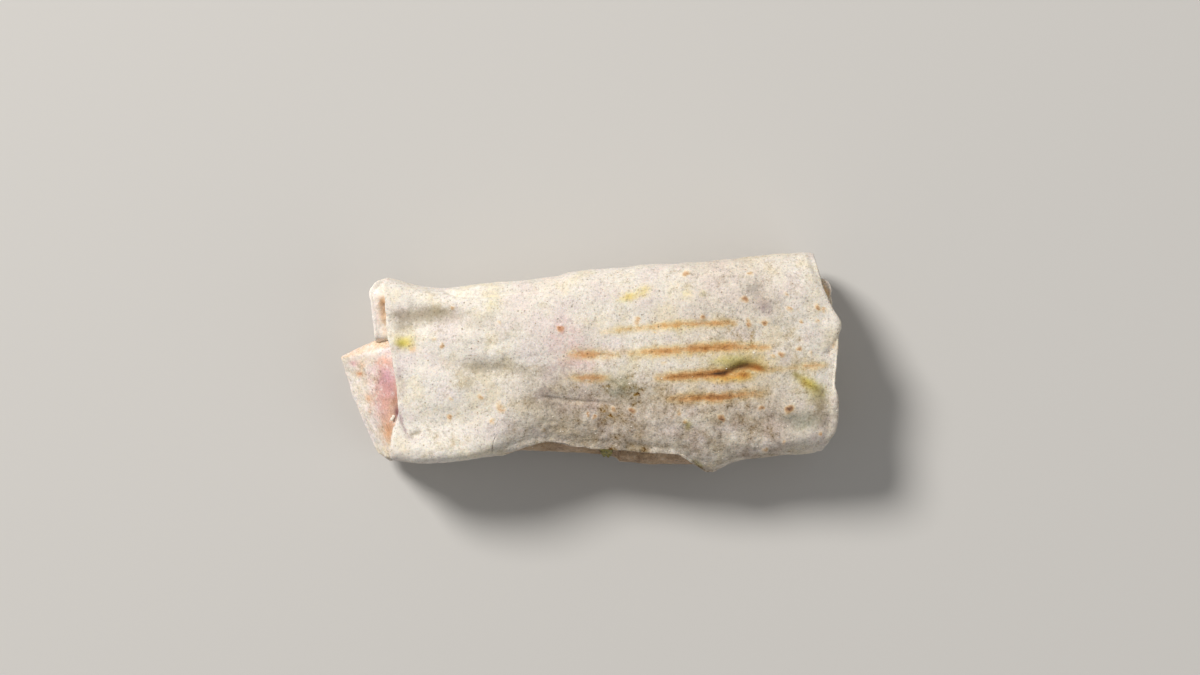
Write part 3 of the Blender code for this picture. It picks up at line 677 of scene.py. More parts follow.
def standing_wall(path, inner, foot, tops, floors, levels, lip, rounds):
    """Rings of a wall on its edge round a hollow. Heights are given at the numbers of the path's points."""
    x_line, y_line = (list(enumerate(values)) for values in zip(*path))
    up_steps, turn, sunk = 14, np.linspace(0, math.pi, 9)[1:-1], np.linspace(0.0, 1.0, 20)[1:]
    rings = []
    for k in np.linspace(0, len(path) - 1, rounds):
        x, y, top, floor, level = (along(line, k) for line in (x_line, y_line, tops, floors, levels))
        inner_x, inner_y = inner[0], mix(inner[1], inner[2], k / (len(path) - 1))
        reach = math.hypot(inner_x - x, inner_y - y)
        top += LIP_RIPPLE * ripple(k, LIP_RIPPLE_WAVE, 12)
        face = lambda z: WALL_LEAN * reach * (1 - np.clip((z - foot) / (top - foot), 0, 1) ** 0.5)
        side = max(top - lip / 2, min(floor, top))
        outline = [(reach, foot + BREAD)]
        outline += [(face(z), z) for z in np.linspace(foot, top - lip / 2, up_steps)]
        outline += [(lip / 2 * (1 - math.cos(a)), max(top - lip / 2 + lip / 2 * math.sin(a),
                                                      side if a > math.pi / 2 else 0.0)) for a in turn]
        outline += [(mix(lip, reach, s ** 1.6), mix(mix(side, floor, smooth(0.0, 0.4, s)), level,
                                                    smooth(0.3, 1.0, s))) for s in sunk]
        rings.append(np.array([(mix(x, inner_x, s / reach), mix(y, inner_y, s / reach), z)
                               for s, z in outline]))
    return rings


pocket = lofted_piece("pocket_wall", standing_wall(POCKET_PATH, POCKET_INNER, POCKET_FOOT, POCKET_TOP,
                                                   POCKET_FLOOR, POCKET_LEVEL, POCKET_LIP, 70))
loop = lofted_piece("end_loop", standing_wall(LOOP_PATH, LOOP_INNER, LOOP_FOOT, LOOP_TOP, LOOP_FLOOR,
                                              LOOP_LEVEL, LOOP_LIP, 48))
print("pocket:", len(pocket.data.vertices), "points; loop:", len(loop.data.vertices), "points")

# %% [markdown]
# ## Uneven dough by Geometry Nodes
# Rolled dough is never smooth: it swells and puckers at three sizes, which continue over every piece. One
# node tree moves each point along its normal by three noises, with named inputs for their heights and
# sizes, so each piece of bread gets its own values. The attribute `hold` keeps the flat underside still.

# %% Node helpers
GEOMETRY, MATERIAL, WHOLE_NUMBER = "NodeSocketGeometry", "NodeSocketMaterial", "NodeSocketInt"
FLOAT, COLOUR = "NodeSocketFloat", "NodeSocketColor"


def set_input(tree, socket, value):
    """Plugs another socket into a socket, or sets a plain value on it."""
    if isinstance(value, bpy.types.NodeSocket):
        tree.links.new(value, socket)
    else:
        socket.default_value = value


def add_node(tree, kind, inputs=(), **settings):
    """A node with its settings, and with its inputs given by name or number."""
    made = tree.nodes.new(kind)
    for name, value in settings.items():
        setattr(made, name, value)
    for name, value in dict(inputs).items():
        set_input(tree, made.inputs[name], value)
    return made


def calculate(tree, operation, *values):
    """A Math node's result."""
    return add_node(tree, "ShaderNodeMath", enumerate(values), operation=operation).outputs[0]


def cloud(tree, place, size, detail, roughness, seed):
    """A noise between 0 and 1 whose lumps are about a size in millimetres across."""
    scale = calculate(tree, "DIVIDE", 1.0 / MM, size)
    inputs = {"Vector": place, "W": seed, "Scale": scale, "Detail": detail, "Roughness": roughness}
    return add_node(tree, "ShaderNodeTexNoise", inputs, noise_dimensions="4D").outputs[0]


def new_tree(name, kind, inputs, outputs):
    """A node tree with named inputs (name, kind, value) and outputs (name, kind), and what it is given."""
    tree = bpy.data.node_groups.new(name, kind)
    for title, socket_kind, *value in inputs:
        made = tree.interface.new_socket(title, in_out="INPUT", socket_type=socket_kind)
        if value:
            made.default_value = value[0]
    for title, socket_kind in outputs:
        tree.interface.new_socket(title, in_out="OUTPUT", socket_type=socket_kind)
    return tree, tree.nodes.new("NodeGroupInput").outputs


def finish_geometry(tree, geometry, material):
    """Both geometry trees end alike: the instances are made real and the material is set."""
    real = add_node(tree, "GeometryNodeRealizeInstances", {0: geometry}).outputs[0]
    finish = add_node(tree, "GeometryNodeSetMaterial", {"Geometry": real, "Material": material})
    add_node(tree, "NodeGroupOutput", {0: finish.outputs[0]})
    return tree


# %% The uneven-dough tree
def make_dough_tree():
    sizes = (("Swell Height", 0.5), ("Swell Size", 22.0), ("Pucker Height", 0.25), ("Pucker Size", 7.0),
             ("Grain Height", 0.08), ("Grain Size", 2.3), ("Seed", 1.0))
    tree, given = new_tree("uneven dough", "GeometryNodeTree",
                           [("Geometry", GEOMETRY), *((name, FLOAT, value) for name, value in sizes),
                            ("Bread", MATERIAL)], [("Geometry", GEOMETRY)])
    place = add_node(tree, "GeometryNodeInputPosition").outputs[0]
    normal = add_node(tree, "GeometryNodeInputNormal").outputs[0]
    hold = add_node(tree, "GeometryNodeInputNamedAttribute", {"Name": "hold"}, data_type="FLOAT")
    height = 0.0
    for name, detail in (("Swell", 1.0), ("Pucker", 2.5), ("Grain", 2.0)):
        lumps = cloud(tree, place, given[name + " Size"], detail, 0.5, given["Seed"])
        swing = calculate(tree, "MULTIPLY", calculate(tree, "SUBTRACT", lumps, 0.5), 2 * MM)
        height = calculate(tree, "MULTIPLY_ADD", swing, given[name + " Height"], height)
    free = calculate(tree, "SUBTRACT", 1.0, hold.outputs[0])
    shift = add_node(tree, "ShaderNodeVectorMath", {"Vector": normal, "Scale": calculate(
        tree, "MULTIPLY", height, free)}, operation="SCALE")
    moved = add_node(tree, "GeometryNodeSetPosition",
                     {"Geometry": given["Geometry"], "Offset": shift.outputs[0]})
    return finish_geometry(tree, moved.outputs[0], given["Bread"])


def grow(piece, tree, values):
    """Runs a node tree on a piece and keeps the result as its plain mesh."""
    modifier = piece.modifiers.new(tree.name, "NODES")
    modifier.node_group = tree
    for socket in tree.interface.items_tree:
        if socket.in_out == "INPUT" and socket.name in values:
            modifier[socket.identifier] = values[socket.name]
    evaluated = piece.evaluated_get(bpy.context.evaluated_depsgraph_get())
    mesh = bpy.data.meshes.new_from_object(evaluated)
    piece.modifiers.remove(modifier)
    old, piece.data = piece.data, mesh
    bpy.data.meshes.remove(old)
    mesh.name = piece.name
    mesh.shade_smooth()
    return piece


dough_tree = make_dough_tree()
print("tree:", dough_tree.name, "with", len(dough_tree.nodes), "nodes")

# %% Growing the dough on every piece of bread
def store(piece, name, values, kind="FLOAT", field="value"):
    """Keeps one value for each point under a name that a node tree or a material can read."""
    attribute = piece.data.attributes.new(name, kind, "POINT")
    attribute.data.foreach_set(field, np.asarray(values, dtype=np.float32).ravel())


DOUGH = {
    roll: {"Swell Height": 0.9, "Pucker Height": 0.62, "Grain Height": 0.24},
    flap: {"Swell Height": 0.6, "Swell Size": 14.0, "Pucker Height": 0.5, "Grain Height": 0.2},
    pocket: {"Swell Height": 0.35, "Swell Size": 9.0, "Pucker Height": 0.40, "Grain Height": 0.16},
    loop: {"Swell Height": 0.3, "Swell Size": 8.0, "Pucker Height": 0.3, "Grain Height": 0.14},
}
UNDERSIDE_HEIGHT = 1.6      # below this the bread lies flat

low_corner, high_corner = (np.array(corner) / MM for corner in cad_box)
for piece, values in DOUGH.items():
    z = points_of(piece)[:, 2]
    store(piece, "hold", 1 - smooth(0.0, UNDERSIDE_HEIGHT, z))
    grow(piece, dough_tree, values)
    inside = np.clip(points_of(piece), low_corner + (ROOM, ROOM, 0.0), high_corner - ROOM)
    move_points(piece, inside)
    piece.data.attributes.remove(piece.data.attributes["hold"])
    print(piece.name, len(piece.data.polygons), "faces")

# %% [markdown]
# ## Stains, what shows through, and painted light and shade
# The bread is thin, so the filling shows through as grey and violet patches, and juices stain it yellow,
# olive and pink. Some soft spots are painted light and shade: a flour-white tint on lit rims, bulges and the
# loose corner and along the flap's edge, and darker tints in the slit and the crease, in the hollows of the
# pocket and the loop, on the flap towards the roll and on the strip below the free edge. Painting an image
# would do it, but a list of soft spots is easier to read and change: each has a place, two half sizes, a
# turn, a tint and a strength. The tints multiply, and the material breaks up their edges. Other attributes
# hold how toasted a place is by the bars and by the blisters, and how much filling lies below it.

# %% The list of stains, painted light and painted shade
YELLOW, LIME, OLIVE = (1.0, 0.84, 0.34), (0.88, 0.86, 0.34), (0.46, 0.42, 0.15)
GREY_OLIVE, GREY_GREEN, MAUVE = (0.58, 0.54, 0.45), (0.60, 0.64, 0.58), (0.66, 0.60, 0.66)
PINK, APRICOT, RUST = (0.96, 0.76, 0.80), (1.0, 0.76, 0.54), (0.76, 0.44, 0.32)
# PLUM_AND_SLIT_SHADE is partly a purple stain and partly painted shade in the slit and the gap beside the
# flap
PLUM_AND_SLIT_SHADE, TAN, CHAR = (0.30, 0.15, 0.22), (0.80, 0.58, 0.38), (0.30, 0.27, 0.13)
VIOLET, ROSE, LEMON = (0.84, 0.66, 0.80), (0.86, 0.68, 0.62), (1.0, 0.93, 0.48)
# the second tint is the tan inside the loop, partly its colour and partly painted shade of its hollow
SHADED, TAN_AND_HOLLOW_SHADE = (0.86, 0.82, 0.83), (0.96, 0.76, 0.44)
PAINTED_STRIP_SHADE = (0.74, 0.58, 0.44)         # painted warm shade of the strip of bread below the free edge
FLAP_SLOPE, SLOPE_STRENGTH = (0.86, 0.69, 0.53), 0.80   # the slope behind the flap's fold line
FLOUR_AND_PAINTED_LIGHT = (1.16, 1.17, 1.18)              # a dusting of flour is brighter than the dough; the same tint is painted light on lit rims, bulges and the loose corner
# Besides stains, the list holds painted light, the flour tint on lit rims, bulges and the loose corner, and
# painted shade along the slit beside the flap, in the gathered crease and at the foot of the swelling.
ROLL_STAINS_LIGHT_AND_SHADE = (  # x, y, half length, half width, turn, tint, strength
    (15.0, 26.2, 4.4, 2.2, 8, LEMON, 1.0), (21.5, 28.6, 3.4, 2.4, 30, LEMON, 0.90),
    (15.5, 26.2, 2.4, 1.2, 5, YELLOW, 0.35), (38.0, 27.5, 3.0, 2.4, 0, LEMON, 0.5),
    (-24.0, -6.5, 8.0, 3.5, -8, GREY_OLIVE, 0.50), (-50.0, 7.0, 6.0, 2.2, -6, FLOUR_AND_PAINTED_LIGHT, 0.8),
    (-73.0, 8.6, 4.5, 3.0, 0, LEMON, 0.8), (-70.5, 5.0, 1.2, 0.9, 0, APRICOT, 0.8),
    (45.0, 27.5, 1.8, 1.6, 0, LIME, 0.5), (-36.6, 24.0, 5.0, 3.5, 0, LIME, 0.35),
    (-74.3, 7.9, 3.4, 2.2, -12, LIME, 1.0), (-75.0, 7.4, 1.6, 1.0, 20, OLIVE, 0.55),
    (-69.8, 6.2, 2.6, 1.4, -20, APRICOT, 0.55), (-66.0, 18.6, 12.0, 3.8, -3, GREY_OLIVE, 1.0),
    (-60.0, 20.6, 7.0, 2.4, -8, GREY_OLIVE, 0.90), (-74.0, 18.0, 4.0, 3.0, 0, GREY_OLIVE, 0.60),
    (-73.5, 14.0, 5.0, 2.6, 5, GREY_OLIVE, 0.75), (-77.0, 19.0, 2.5, 2.0, 0, GREY_OLIVE, 0.6),
    (-46.0, 16.8, 9.0, 4.5, 0, GREY_OLIVE, 0.50), (-30.0, 13.5, 9.0, 6.0, 10, GREY_OLIVE, 0.45),
    # these two grey-olive bands are partly stain and partly painted shade at the foot of the swelling
    (-35.0, -1.8, 22.0, 2.8, -4, GREY_OLIVE, 0.75), (-44.0, -4.0, 7.5, 5.5, 0, GREY_OLIVE, 0.60),
    (-56.0, 0.0, 6.0, 2.0, -25, APRICOT, 0.25), (-50.0, -18.5, 9.0, 4.0, 10, GREY_OLIVE, 0.35),
    (66.0, 27.5, 8.0, 5.5, -30, MAUVE, 0.60), (69.5, 21.5, 4.2, 2.6, -35, MAUVE, 1.0),
    (64.0, 30.0, 4.0, 3.0, 0, GREY_GREEN, 0.50), (-9.0, 10.0, 10.0, 9.0, -40, PINK, 0.75),
    (-3.0, 1.0, 9.0, 6.0, 0, PINK, 0.65), (-13.0, -2.5, 8.0, 6.5, 0, MAUVE, 0.50),
    (13.5, -9.5, 8.5, 5.0, -25, GREY_GREEN, 1.0), (9.0, -11.5, 3.0, 2.4, 0, GREY_GREEN, 0.8),
    # the mauve along the gathered crease here, at (-18, -12) and the grey-olive at (-18, -16) are partly
    # violet showing through and partly painted shade in the crease
    (0.0, -17.5, 20.0, 4.5, 0, MAUVE, 0.50), (24.0, -26.0, 24.0, 4.5, 0, MAUVE, 0.50),
    (66.0, -21.5, 15.0, 4.0, -2, MAUVE, 0.60), (50.0, -27.5, 14.0, 3.6, -2, GREY_OLIVE, 0.40),
    (78.0, -31.0, 22.0, 4.0, 2, FLOUR_AND_PAINTED_LIGHT, 0.9), (-18.0, -12.0, 6.0, 3.5, 20, MAUVE, 0.8),
    (62.0, -22.0, 9.0, 2.4, 0, LIME, 0.30), (39.0, -24.5, 1.6, 2.6, 0, LIME, 0.75),
    (81.8, -4.8, 2.0, 1.2, -35, OLIVE, 0.85), (86.4, -7.8, 5.0, 2.3, -32, LIME, 0.90),
    (86.4, -7.9, 4.8, 2.0, -34, YELLOW, 0.50), (89.4, -9.8, 1.4, 1.1, -40, OLIVE, 0.60),
    (91.6, -12.2, 3.0, 2.2, -60, OLIVE, 0.50), (81.0, -21.5, 6.0, 1.8, 6, GREY_GREEN, 0.55),
    (89.5, -12.0, 6.0, 6.0, 0, LIME, 0.40), (81.0, -1.0, 7.0, 9.0, 0, GREY_OLIVE, 0.40),
    (91.5, -19.0, 4.0, 9.0, 12, GREY_OLIVE, 0.95), (84.0, -24.0, 8.0, 4.0, 0, GREY_GREEN, 0.95),
    (56.6, -2.4, 3.6, 1.2, 22, CHAR, 0.70), (61.0, -0.7, 3.4, 1.5, 4, CHAR, 0.70),
    (66.4, -1.8, 2.4, 1.3, -25, TAN, 0.90), (52.5, -4.2, 2.6, 1.3, 8, CHAR, 0.60),
    (55.0, 1.2, 9.0, 2.6, 8, LIME, 0.75), (59.0, -0.6, 6.4, 2.5, 14, OLIVE, 0.95),
    (60.0, -5.4, 6.5, 2.4, 6, YELLOW, 0.9), (52.0, -6.4, 6.0, 2.0, 4, YELLOW, 0.8),
    (53.0, 7.6, 12.0, 2.2, 2, LIME, 0.4), (68.0, 1.0, 7.0, 3.5, 0, YELLOW, 0.6),
    (68.0, -1.8, 5.5, 1.6, -12, OLIVE, 0.65), (36.0, 13.5, 14.0, 3.0, 4, YELLOW, 0.35),
    (36.0, 3.4, 18.0, 3.0, 4, YELLOW, 0.40), (-75.0, -5.0, 2.6, 14.0, 3, MAUVE, 0.75),
    # these plum lines and the mauve below are partly purple stain and partly painted shade in the slit
    # beside the flap
    (-74.8, -22.6, 0.7, 3.4, 16, PLUM_AND_SLIT_SHADE, 0.55), (-73.2, -26.8, 0.6, 1.8, 30, PLUM_AND_SLIT_SHADE, 0.55),
    (-76.4, -20.5, 1.8, 3.0, 14, MAUVE, 0.5), (-49.0, -8.0, 5.0, 4.5, 0, GREY_OLIVE, 0.45),
    (-18.0, -16.0, 13.0, 4.5, -4, GREY_OLIVE, 0.50), (41.0, -20.0, 5.0, 6.5, 0, FLOUR_AND_PAINTED_LIGHT, 1.0),
    # these grey-olive and mauve lines are partly stain and partly painted shade along the slit's crease
    (-69.0, -28.0, 3.0, 1.0, 15, GREY_OLIVE, 1.0), (-72.0, -29.5, 2.0, 1.0, -25, MAUVE, 0.7),
    (-11.0, 13.4, 1.3, 2.2, 20, RUST, 0.5), (96.3, 6.4, 0.9, 3.0, -18, TAN, 0.75),
    (30.0, -33.5, 16.0, 2.0, -8, GREY_OLIVE, 0.45),
    # the flour tints on the loose corner, along the front rims and over the bulge behind the flap are
    # painted light
    (48.5, -41.5, 3.5, 3.0, 0, FLOUR_AND_PAINTED_LIGHT, 1.0), (43.5, -40.5, 3.0, 1.2, -35, LIME, 0.70),
    (-60.0, -38.0, 22.0, 3.0, 0, FLOUR_AND_PAINTED_LIGHT, 1.0), (84.0, -31.5, 16.0, 3.0, 0, FLOUR_AND_PAINTED_LIGHT, 1.0),
    (-60.0, -5.0, 6.0, 7.0, 20, FLOUR_AND_PAINTED_LIGHT, 0.7), (-72.0, -8.0, 3.0, 12.0, 5, FLOUR_AND_PAINTED_LIGHT, 0.5),
)
FLAP_STAINS_AND_SHADE = (
    (-84.0, -5.0, 7.5, 9.0, 0, PINK, 0.70), (-79.6, -8.5, 5.0, 10.5, 2, PINK, 0.60),
    (-83.2, -6.0, 4.6, 4.0, 0, VIOLET, 0.45), (-79.0, -8.0, 3.6, 6.5, 4, VIOLET, 0.50),
    (-80.0, -12.0, 5.5, 7.5, 4, ROSE, 0.75), (-81.0, -19.5, 4.8, 7.0, 8, ROSE, 0.85),
    (-81.5, -26.0, 4.0, 6.0, -8, ROSE, 0.40),
    # the plum next to the gap under the roll's edge is partly stain and partly painted shade
    (-76.4, -14.0, 1.6, 4.5, 6, RUST, 0.60), (-76.6, -19.8, 1.3, 2.8, 8, PLUM_AND_SLIT_SHADE, 1.0),
    (-82.0, 0.4, 3.8, 2.8, -6, APRICOT, 0.85), (-84.0, -12.5, 4.5, 4.5, 0, ROSE, 0.40),
    (-80.6, -27.5, 3.2, 6.0, -8, APRICOT, 0.90), (-79.8, -27.5, 2.0, 5.0, -12, TAN, 0.55),
    (-84.5, -18.0, 4.0, 7.0, 8, PINK, 0.6), (-96.0, 0.4, 2.4, 2.2, 0, PINK, 0.95),
    (-95.2, -0.4, 1.7, 1.5, 0, VIOLET, 1.0), (-91.5, -0.8, 2.6, 1.6, 0, APRICOT, 0.6),
    (-92.6, -4.6, 2.2, 1.2, 0, APRICOT, 0.95), (-92.0, -4.4, 0.9, 0.6, 0, RUST, 0.9),
    (-88.6, -19.5, 1.3, 1.5, 20, TAN, 0.95), (-88.8, -14.5, 1.4, 1.8, 0, APRICOT, 0.85),
    # SHADED is painted shade: the flap darkens towards the roll
    (-86.0, -26.0, 2.0, 1.2, 0, MAUVE, 0.4), (-76.0, -14.0, 6.0, 17.0, 6, SHADED, 0.9),
)
# the tan, apricot and rust in the pocket and the loop are partly their colour inside and partly painted
# shade of their hollows
POCKET_STAINS_AND_SHADE = ((-82.4, 24.6, 2.4, 2.4, 0, TAN, 1.0), (-82.2, 20.5, 2.0, 4.5, 0, TAN, 0.85),
                 (-82.0, 14.5, 1.8, 5.5, 0, APRICOT, 0.55), (-84.5, 18.0, 0.8, 3.0, 8, RUST, 0.35))
LOOP_STAINS_AND_SHADE = ((93.9, 28.4, 5.2, 1.8, -68, TAN_AND_HOLLOW_SHADE, 1.0),)
EDGE_HIGHLIGHT_REACH = 1.9          # the painted highlight on the flap's thick, rounded edge reaches this far in
SLOPE_LINE = ((-74.0, 7.5), (-99.0, 1.6))       # where the slope behind the flap's fold starts
UNDER_EDGE_X = (-36.0, -30.0, 42.0, 47.0)   # where the painted shade of the strip below the free edge fades in and out
UNDER_EDGE_GAP, STRIP_SHADE = 0.3, 0.75     # the painted shade starts this far down, and so much of it is lost
STRIP_DEPTH = (9.0, 18.0)                   # between these depths below the edge
print("stains:", len(ROLL_STAINS_LIGHT_AND_SHADE + FLAP_STAINS_AND_SHADE + POCKET_STAINS_AND_SHADE + LOOP_STAINS_AND_SHADE))


# %% Painting the bread
def tint_at(x, y, stains):
    tint = np.ones((*np.shape(x), 3))
    for *form, colour, strength in stains:
        amount = np.minimum(1.0, strength * bell(x, y, form))[..., None]
        tint *= 1 - amount * (1 - np.array(colour))
    return tint


def roll_tint(x, y, z):
    """The stains, painted light and painted shade of the roll, and the painted warm shade of the strip below
    its free edge.
    """
    seam_y, seam_z = section(x, np.radians(along(SEAM_ANGLE, x)))
    # below is where the strip under the free edge gets its painted warm shade
    below = smooth(-0.1, 0.5, seam_y - y) * (smooth(*UNDER_EDGE_X[:2], x) * (
        1 - smooth(*UNDER_EDGE_X[2:], x))) * smooth(2.0, 5.0, z)
    below *= (z < seam_z - UNDER_EDGE_GAP) * (1 - STRIP_SHADE * smooth(*STRIP_DEPTH, seam_z - z))
    return tint_at(x, y, ROLL_STAINS_LIGHT_AND_SHADE) * mix(1.0, np.array(PAINTED_STRIP_SHADE), below[:, None])


def flap_tint(x, y):
    """The stains and painted shade of the flap, the painted highlight on its edge and the tan slope behind
    its fold line.
    """
    (x0, y0), (x1, y1) = SLOPE_LINE
    behind = smooth(-0.3, 0.5, y - mix(y0, y1, (x - x0) / (x1 - x0)))[:, None]
    # a painted highlight along the flap's rounded edge
    from_edge = path_distance(x, y, [FLAP_CORNER[:2], FLAP_FRONT[:2]])[0]
    edge_highlight = np.exp(-(from_edge / EDGE_HIGHLIGHT_REACH) ** 2)[:, None]
    tint = mix(tint_at(x, y, FLAP_STAINS_AND_SHADE), np.array(FLOUR_AND_PAINTED_LIGHT), edge_highlight)
    return mix(tint, np.array(FLAP_SLOPE), SLOPE_STRENGTH * behind)


def seen_from_above(piece):
    """1 where the skin faces up, 0 where it faces down or along the roll."""
    normals = normals_of(piece)
    return smooth(-0.15, 0.1, normals[:, 2]) * (1 - smooth(0.6, 0.9, np.abs(normals[:, 0])))


def paint(piece, tint):
    """Stores what the bread material reads: tint, toast, bubble, spot and filling."""
    x, y, _ = points_of(piece).T
    over = seen_from_above(piece)
    bubble, browned = bubble_field(x, y, 1.0)
    stuffed = smooth(-50.0, 5.0, x) * (1 - 0.7 * smooth(62.0, 90.0, x))
    filling = stuffed * np.maximum(0.08 + 0.30 * smooth(25.0, 50.0, x), smooth(5.0, -19.0, y))
    store(piece, "tint", np.column_stack((tint, np.ones(len(tint)))), "FLOAT_COLOR", "color")
    store(piece, "toast", mix(bar_toast(x, y, UNDER_BARS), bar_toast(x, y), over))
    store(piece, "bubble", bubble * over)
    store(piece, "spot", browned * over)
    store(piece, "filling", filling)


paint(roll, roll_tint(*points_of(roll).T))
paint(flap, flap_tint(*points_of(flap).T[:2]))
for piece, stains in ((pocket, POCKET_STAINS_AND_SHADE), (loop, LOOP_STAINS_AND_SHADE)):
    tint = tint_at(*points_of(piece).T[:2], stains)
    paint(piece, mix(np.ones_like(tint), tint, seen_from_above(piece)[:, None]))
print("stored on the roll:", ", ".join(a.name for a in roll.data.attributes if not a.name.startswith(".")))

# %% [markdown]
# ## Floury dough, toasting and stains as shader groups
# Three effects return in every bread material. *Floury dough* gives a mottled skin with pinholes, *toasting*
# turns a number into the browns of a crust, and *soaking* lays the tints on unevenly, stains and painted
# light and shade alike. Each is a node group with named inputs, built once; they put out colours, masks and
# heights, and the Principled shader stays in the material.

# %% Shader helpers
def blend_colour(tree, factor, a, b, kind="MIX"):
    made = add_node(tree, "ShaderNodeMix", data_type="RGBA", blend_type=kind)
    for name, value in (("Factor_Float", factor), ("A_Color", a), ("B_Color", b)):
        set_input(tree, next(s for s in made.inputs if s.identifier == name), value)
    return next(s for s in made.outputs if s.identifier == "Result_Color")


def ramp_between(tree, value, low, high, to_low=0.0, to_high=1.0):
    """A soft step from to_low to to_high, while the value goes from low to high."""
    return add_node(tree, "ShaderNodeMapRange", enumerate((value, low, high, to_low, to_high)),
                    interpolation_type="SMOOTHSTEP").outputs[0]


def object_place(tree):
    return add_node(tree, "ShaderNodeTexCoord").outputs["Object"]


def cells(tree, place, size):
    """How far a place is from the nearest of many scattered points, and a random colour for each."""
    made = add_node(tree, "ShaderNodeTexVoronoi", {"Vector": place, "Scale": 1.0 / (size * MM)})
    return made.outputs["Distance"], made.outputs["Color"]


def split_colour(tree, colour):
    return add_node(tree, "ShaderNodeSeparateColor", {0: colour}).outputs


# %% Floury dough
DOUGH_DARKNESS = -0.93              # how far the mean of the clouds lies from the darker dough
WARM_CLOUDS = ((0.50, 0.64, (0.99, 0.965, 0.875, 1)), (0.50, 0.36, (0.975, 0.945, 0.985, 1)))
MOTTLE_SWING = (0.82, 1.0, 1.26)    # flour is cool and dough is warm, so blue swings most
PORES = ((1.25, 0.34, 1.00, 0.50), (3.1, 0.17, 1.20, 0.90))     # cell, edge, rarity, strength
PORE_BROWN, PORE_HEIGHT = (0.33, 0.27, 0.20, 1), -0.5


def add_swings(tree, start, shares):
    """Adds noises to a value, each swinging round nothing and weighed by its share."""
    for noise, share in shares:
        start = calculate(tree, "MULTIPLY_ADD", calculate(tree, "SUBTRACT", noise, 0.5), share, start)
    return start


def make_floury_dough():
    tree, given = new_tree(
        "floury dough", "ShaderNodeTree",
        [("Pale", COLOUR, (0.86, 0.80, 0.68, 1)), ("Deep", COLOUR, (0.66, 0.59, 0.50, 1)),
         ("Filling", FLOAT, 0.0), ("Contrast", FLOAT, 1.0), ("Pinholes", FLOAT, 1.0), ("Seed", FLOAT, 0.0)],
        [("Colour", COLOUR), ("Height", FLOAT), ("Flour", FLOAT)])
    place, seed = object_place(tree), given["Seed"]
    wide = cloud(tree, place, 19.0, 2.0, 0.55, seed)
    patch = cloud(tree, place, 7.5, 4.0, 0.68, calculate(tree, "ADD", seed, 11.0))
    lumps = cloud(tree, place, 3.0, 3.0, 0.60, seed)
    grain = cloud(tree, place, 1.25, 3.0, 0.65, seed)
    dust = cloud(tree, place, 0.62, 2.0, 0.60, seed)
    depth = calculate(tree, "MULTIPLY_ADD", given["Filling"], 0.48, DOUGH_DARKNESS)
    for noise, share in ((wide, 1.00), (patch, 1.35), (lumps, 0.55)):
        depth = calculate(tree, "MULTIPLY_ADD", noise, share, depth)
    colour = blend_colour(tree, ramp_between(tree, depth, 0.1, 1.0), given["Pale"], given["Deep"])
    warm = cloud(tree, place, 11.0, 4.0, 0.62, calculate(tree, "ADD", seed, 23.0))
    for low, high, tint in WARM_CLOUDS:
        share = calculate(tree, "MULTIPLY", ramp_between(tree, warm, low, high), given["Contrast"])
        colour = blend_colour(tree, share, colour, tint, "MULTIPLY")
    mottle = calculate(tree, "MULTIPLY", ramp_between(tree, grain, 0.50, 0.30), -0.24)
    mottle = add_swings(tree, mottle, ((lumps, 0.25), (grain, 0.45), (dust, 0.85)))
    coarse = add_swings(tree, 0.0, ((wide, 1.15), (patch, 1.95), (lumps, 1.00)))
    rough = calculate(tree, "MULTIPLY_ADD", given["Filling"], 0.55, 0.75)
    rough = calculate(tree, "MULTIPLY", rough, given["Contrast"])
    mottle = calculate(tree, "MULTIPLY_ADD", mottle, rough, 1.0)
    coarse = calculate(tree, "MULTIPLY", coarse, rough)
    shade = add_node(tree, "ShaderNodeCombineColor", enumerate(
        calculate(tree, "MULTIPLY_ADD", coarse, swing, mottle) for swing in MOTTLE_SWING))
    colour = blend_colour(tree, 1.0, colour, shade.outputs[0], "MULTIPLY")
    hole = 0.0
    for size, edge, rare, strength in PORES:
        distance, chance_colour = cells(tree, place, size)
        pore = ramp_between(tree, distance, 0.4 * edge, edge, strength, 0.0)
        chance = calculate(tree, "MULTIPLY_ADD", wide, -0.9, rare)
        chosen = calculate(tree, "GREATER_THAN", split_colour(tree, chance_colour)[0], chance)
        hole = calculate(tree, "MAXIMUM", calculate(tree, "MULTIPLY", pore, chosen), hole)
    bare = ramp_between(tree, depth, 0.15, 0.75, 0.25, 1.0)
    hole = calculate(tree, "MULTIPLY", calculate(tree, "MULTIPLY", hole, bare), given["Pinholes"])
    height = calculate(tree, "MULTIPLY_ADD", lumps, 0.8, calculate(tree, "MULTIPLY", dust, 0.3))
    height = calculate(tree, "MULTIPLY_ADD", grain, 0.75, height)
    add_node(tree, "NodeGroupOutput", {
        "Colour": blend_colour(tree, hole, colour, PORE_BROWN),
        "Height": calculate(tree, "MULTIPLY_ADD", hole, PORE_HEIGHT, height), "Flour": lumps})
    return tree


# %% Toasting
BAR_BROWNS = ((0.12, (0.99, 0.89, 0.67, 1)), (0.30, (0.93, 0.67, 0.39, 1)), (0.50, (0.79, 0.46, 0.20, 1)),
              (0.75, (0.50, 0.23, 0.06, 1)), (1.0, (0.12, 0.052, 0.018, 1)))
SPOT_BROWNS = ((0.15, (0.98, 0.90, 0.78, 1)), (0.40, (0.86, 0.66, 0.46, 1)), (0.65, (0.66, 0.43, 0.27, 1)),
               (1.0, (0.26, 0.15, 0.10, 1)))
BAR_STRENGTH, SPOT_STRENGTH, SPOT_BREAK_UP = 0.76, 1.05, 0.7
STREAK_TURN, STREAK_STRETCH = -62.0, 0.30       # the breaks in a toasted bar lean across it


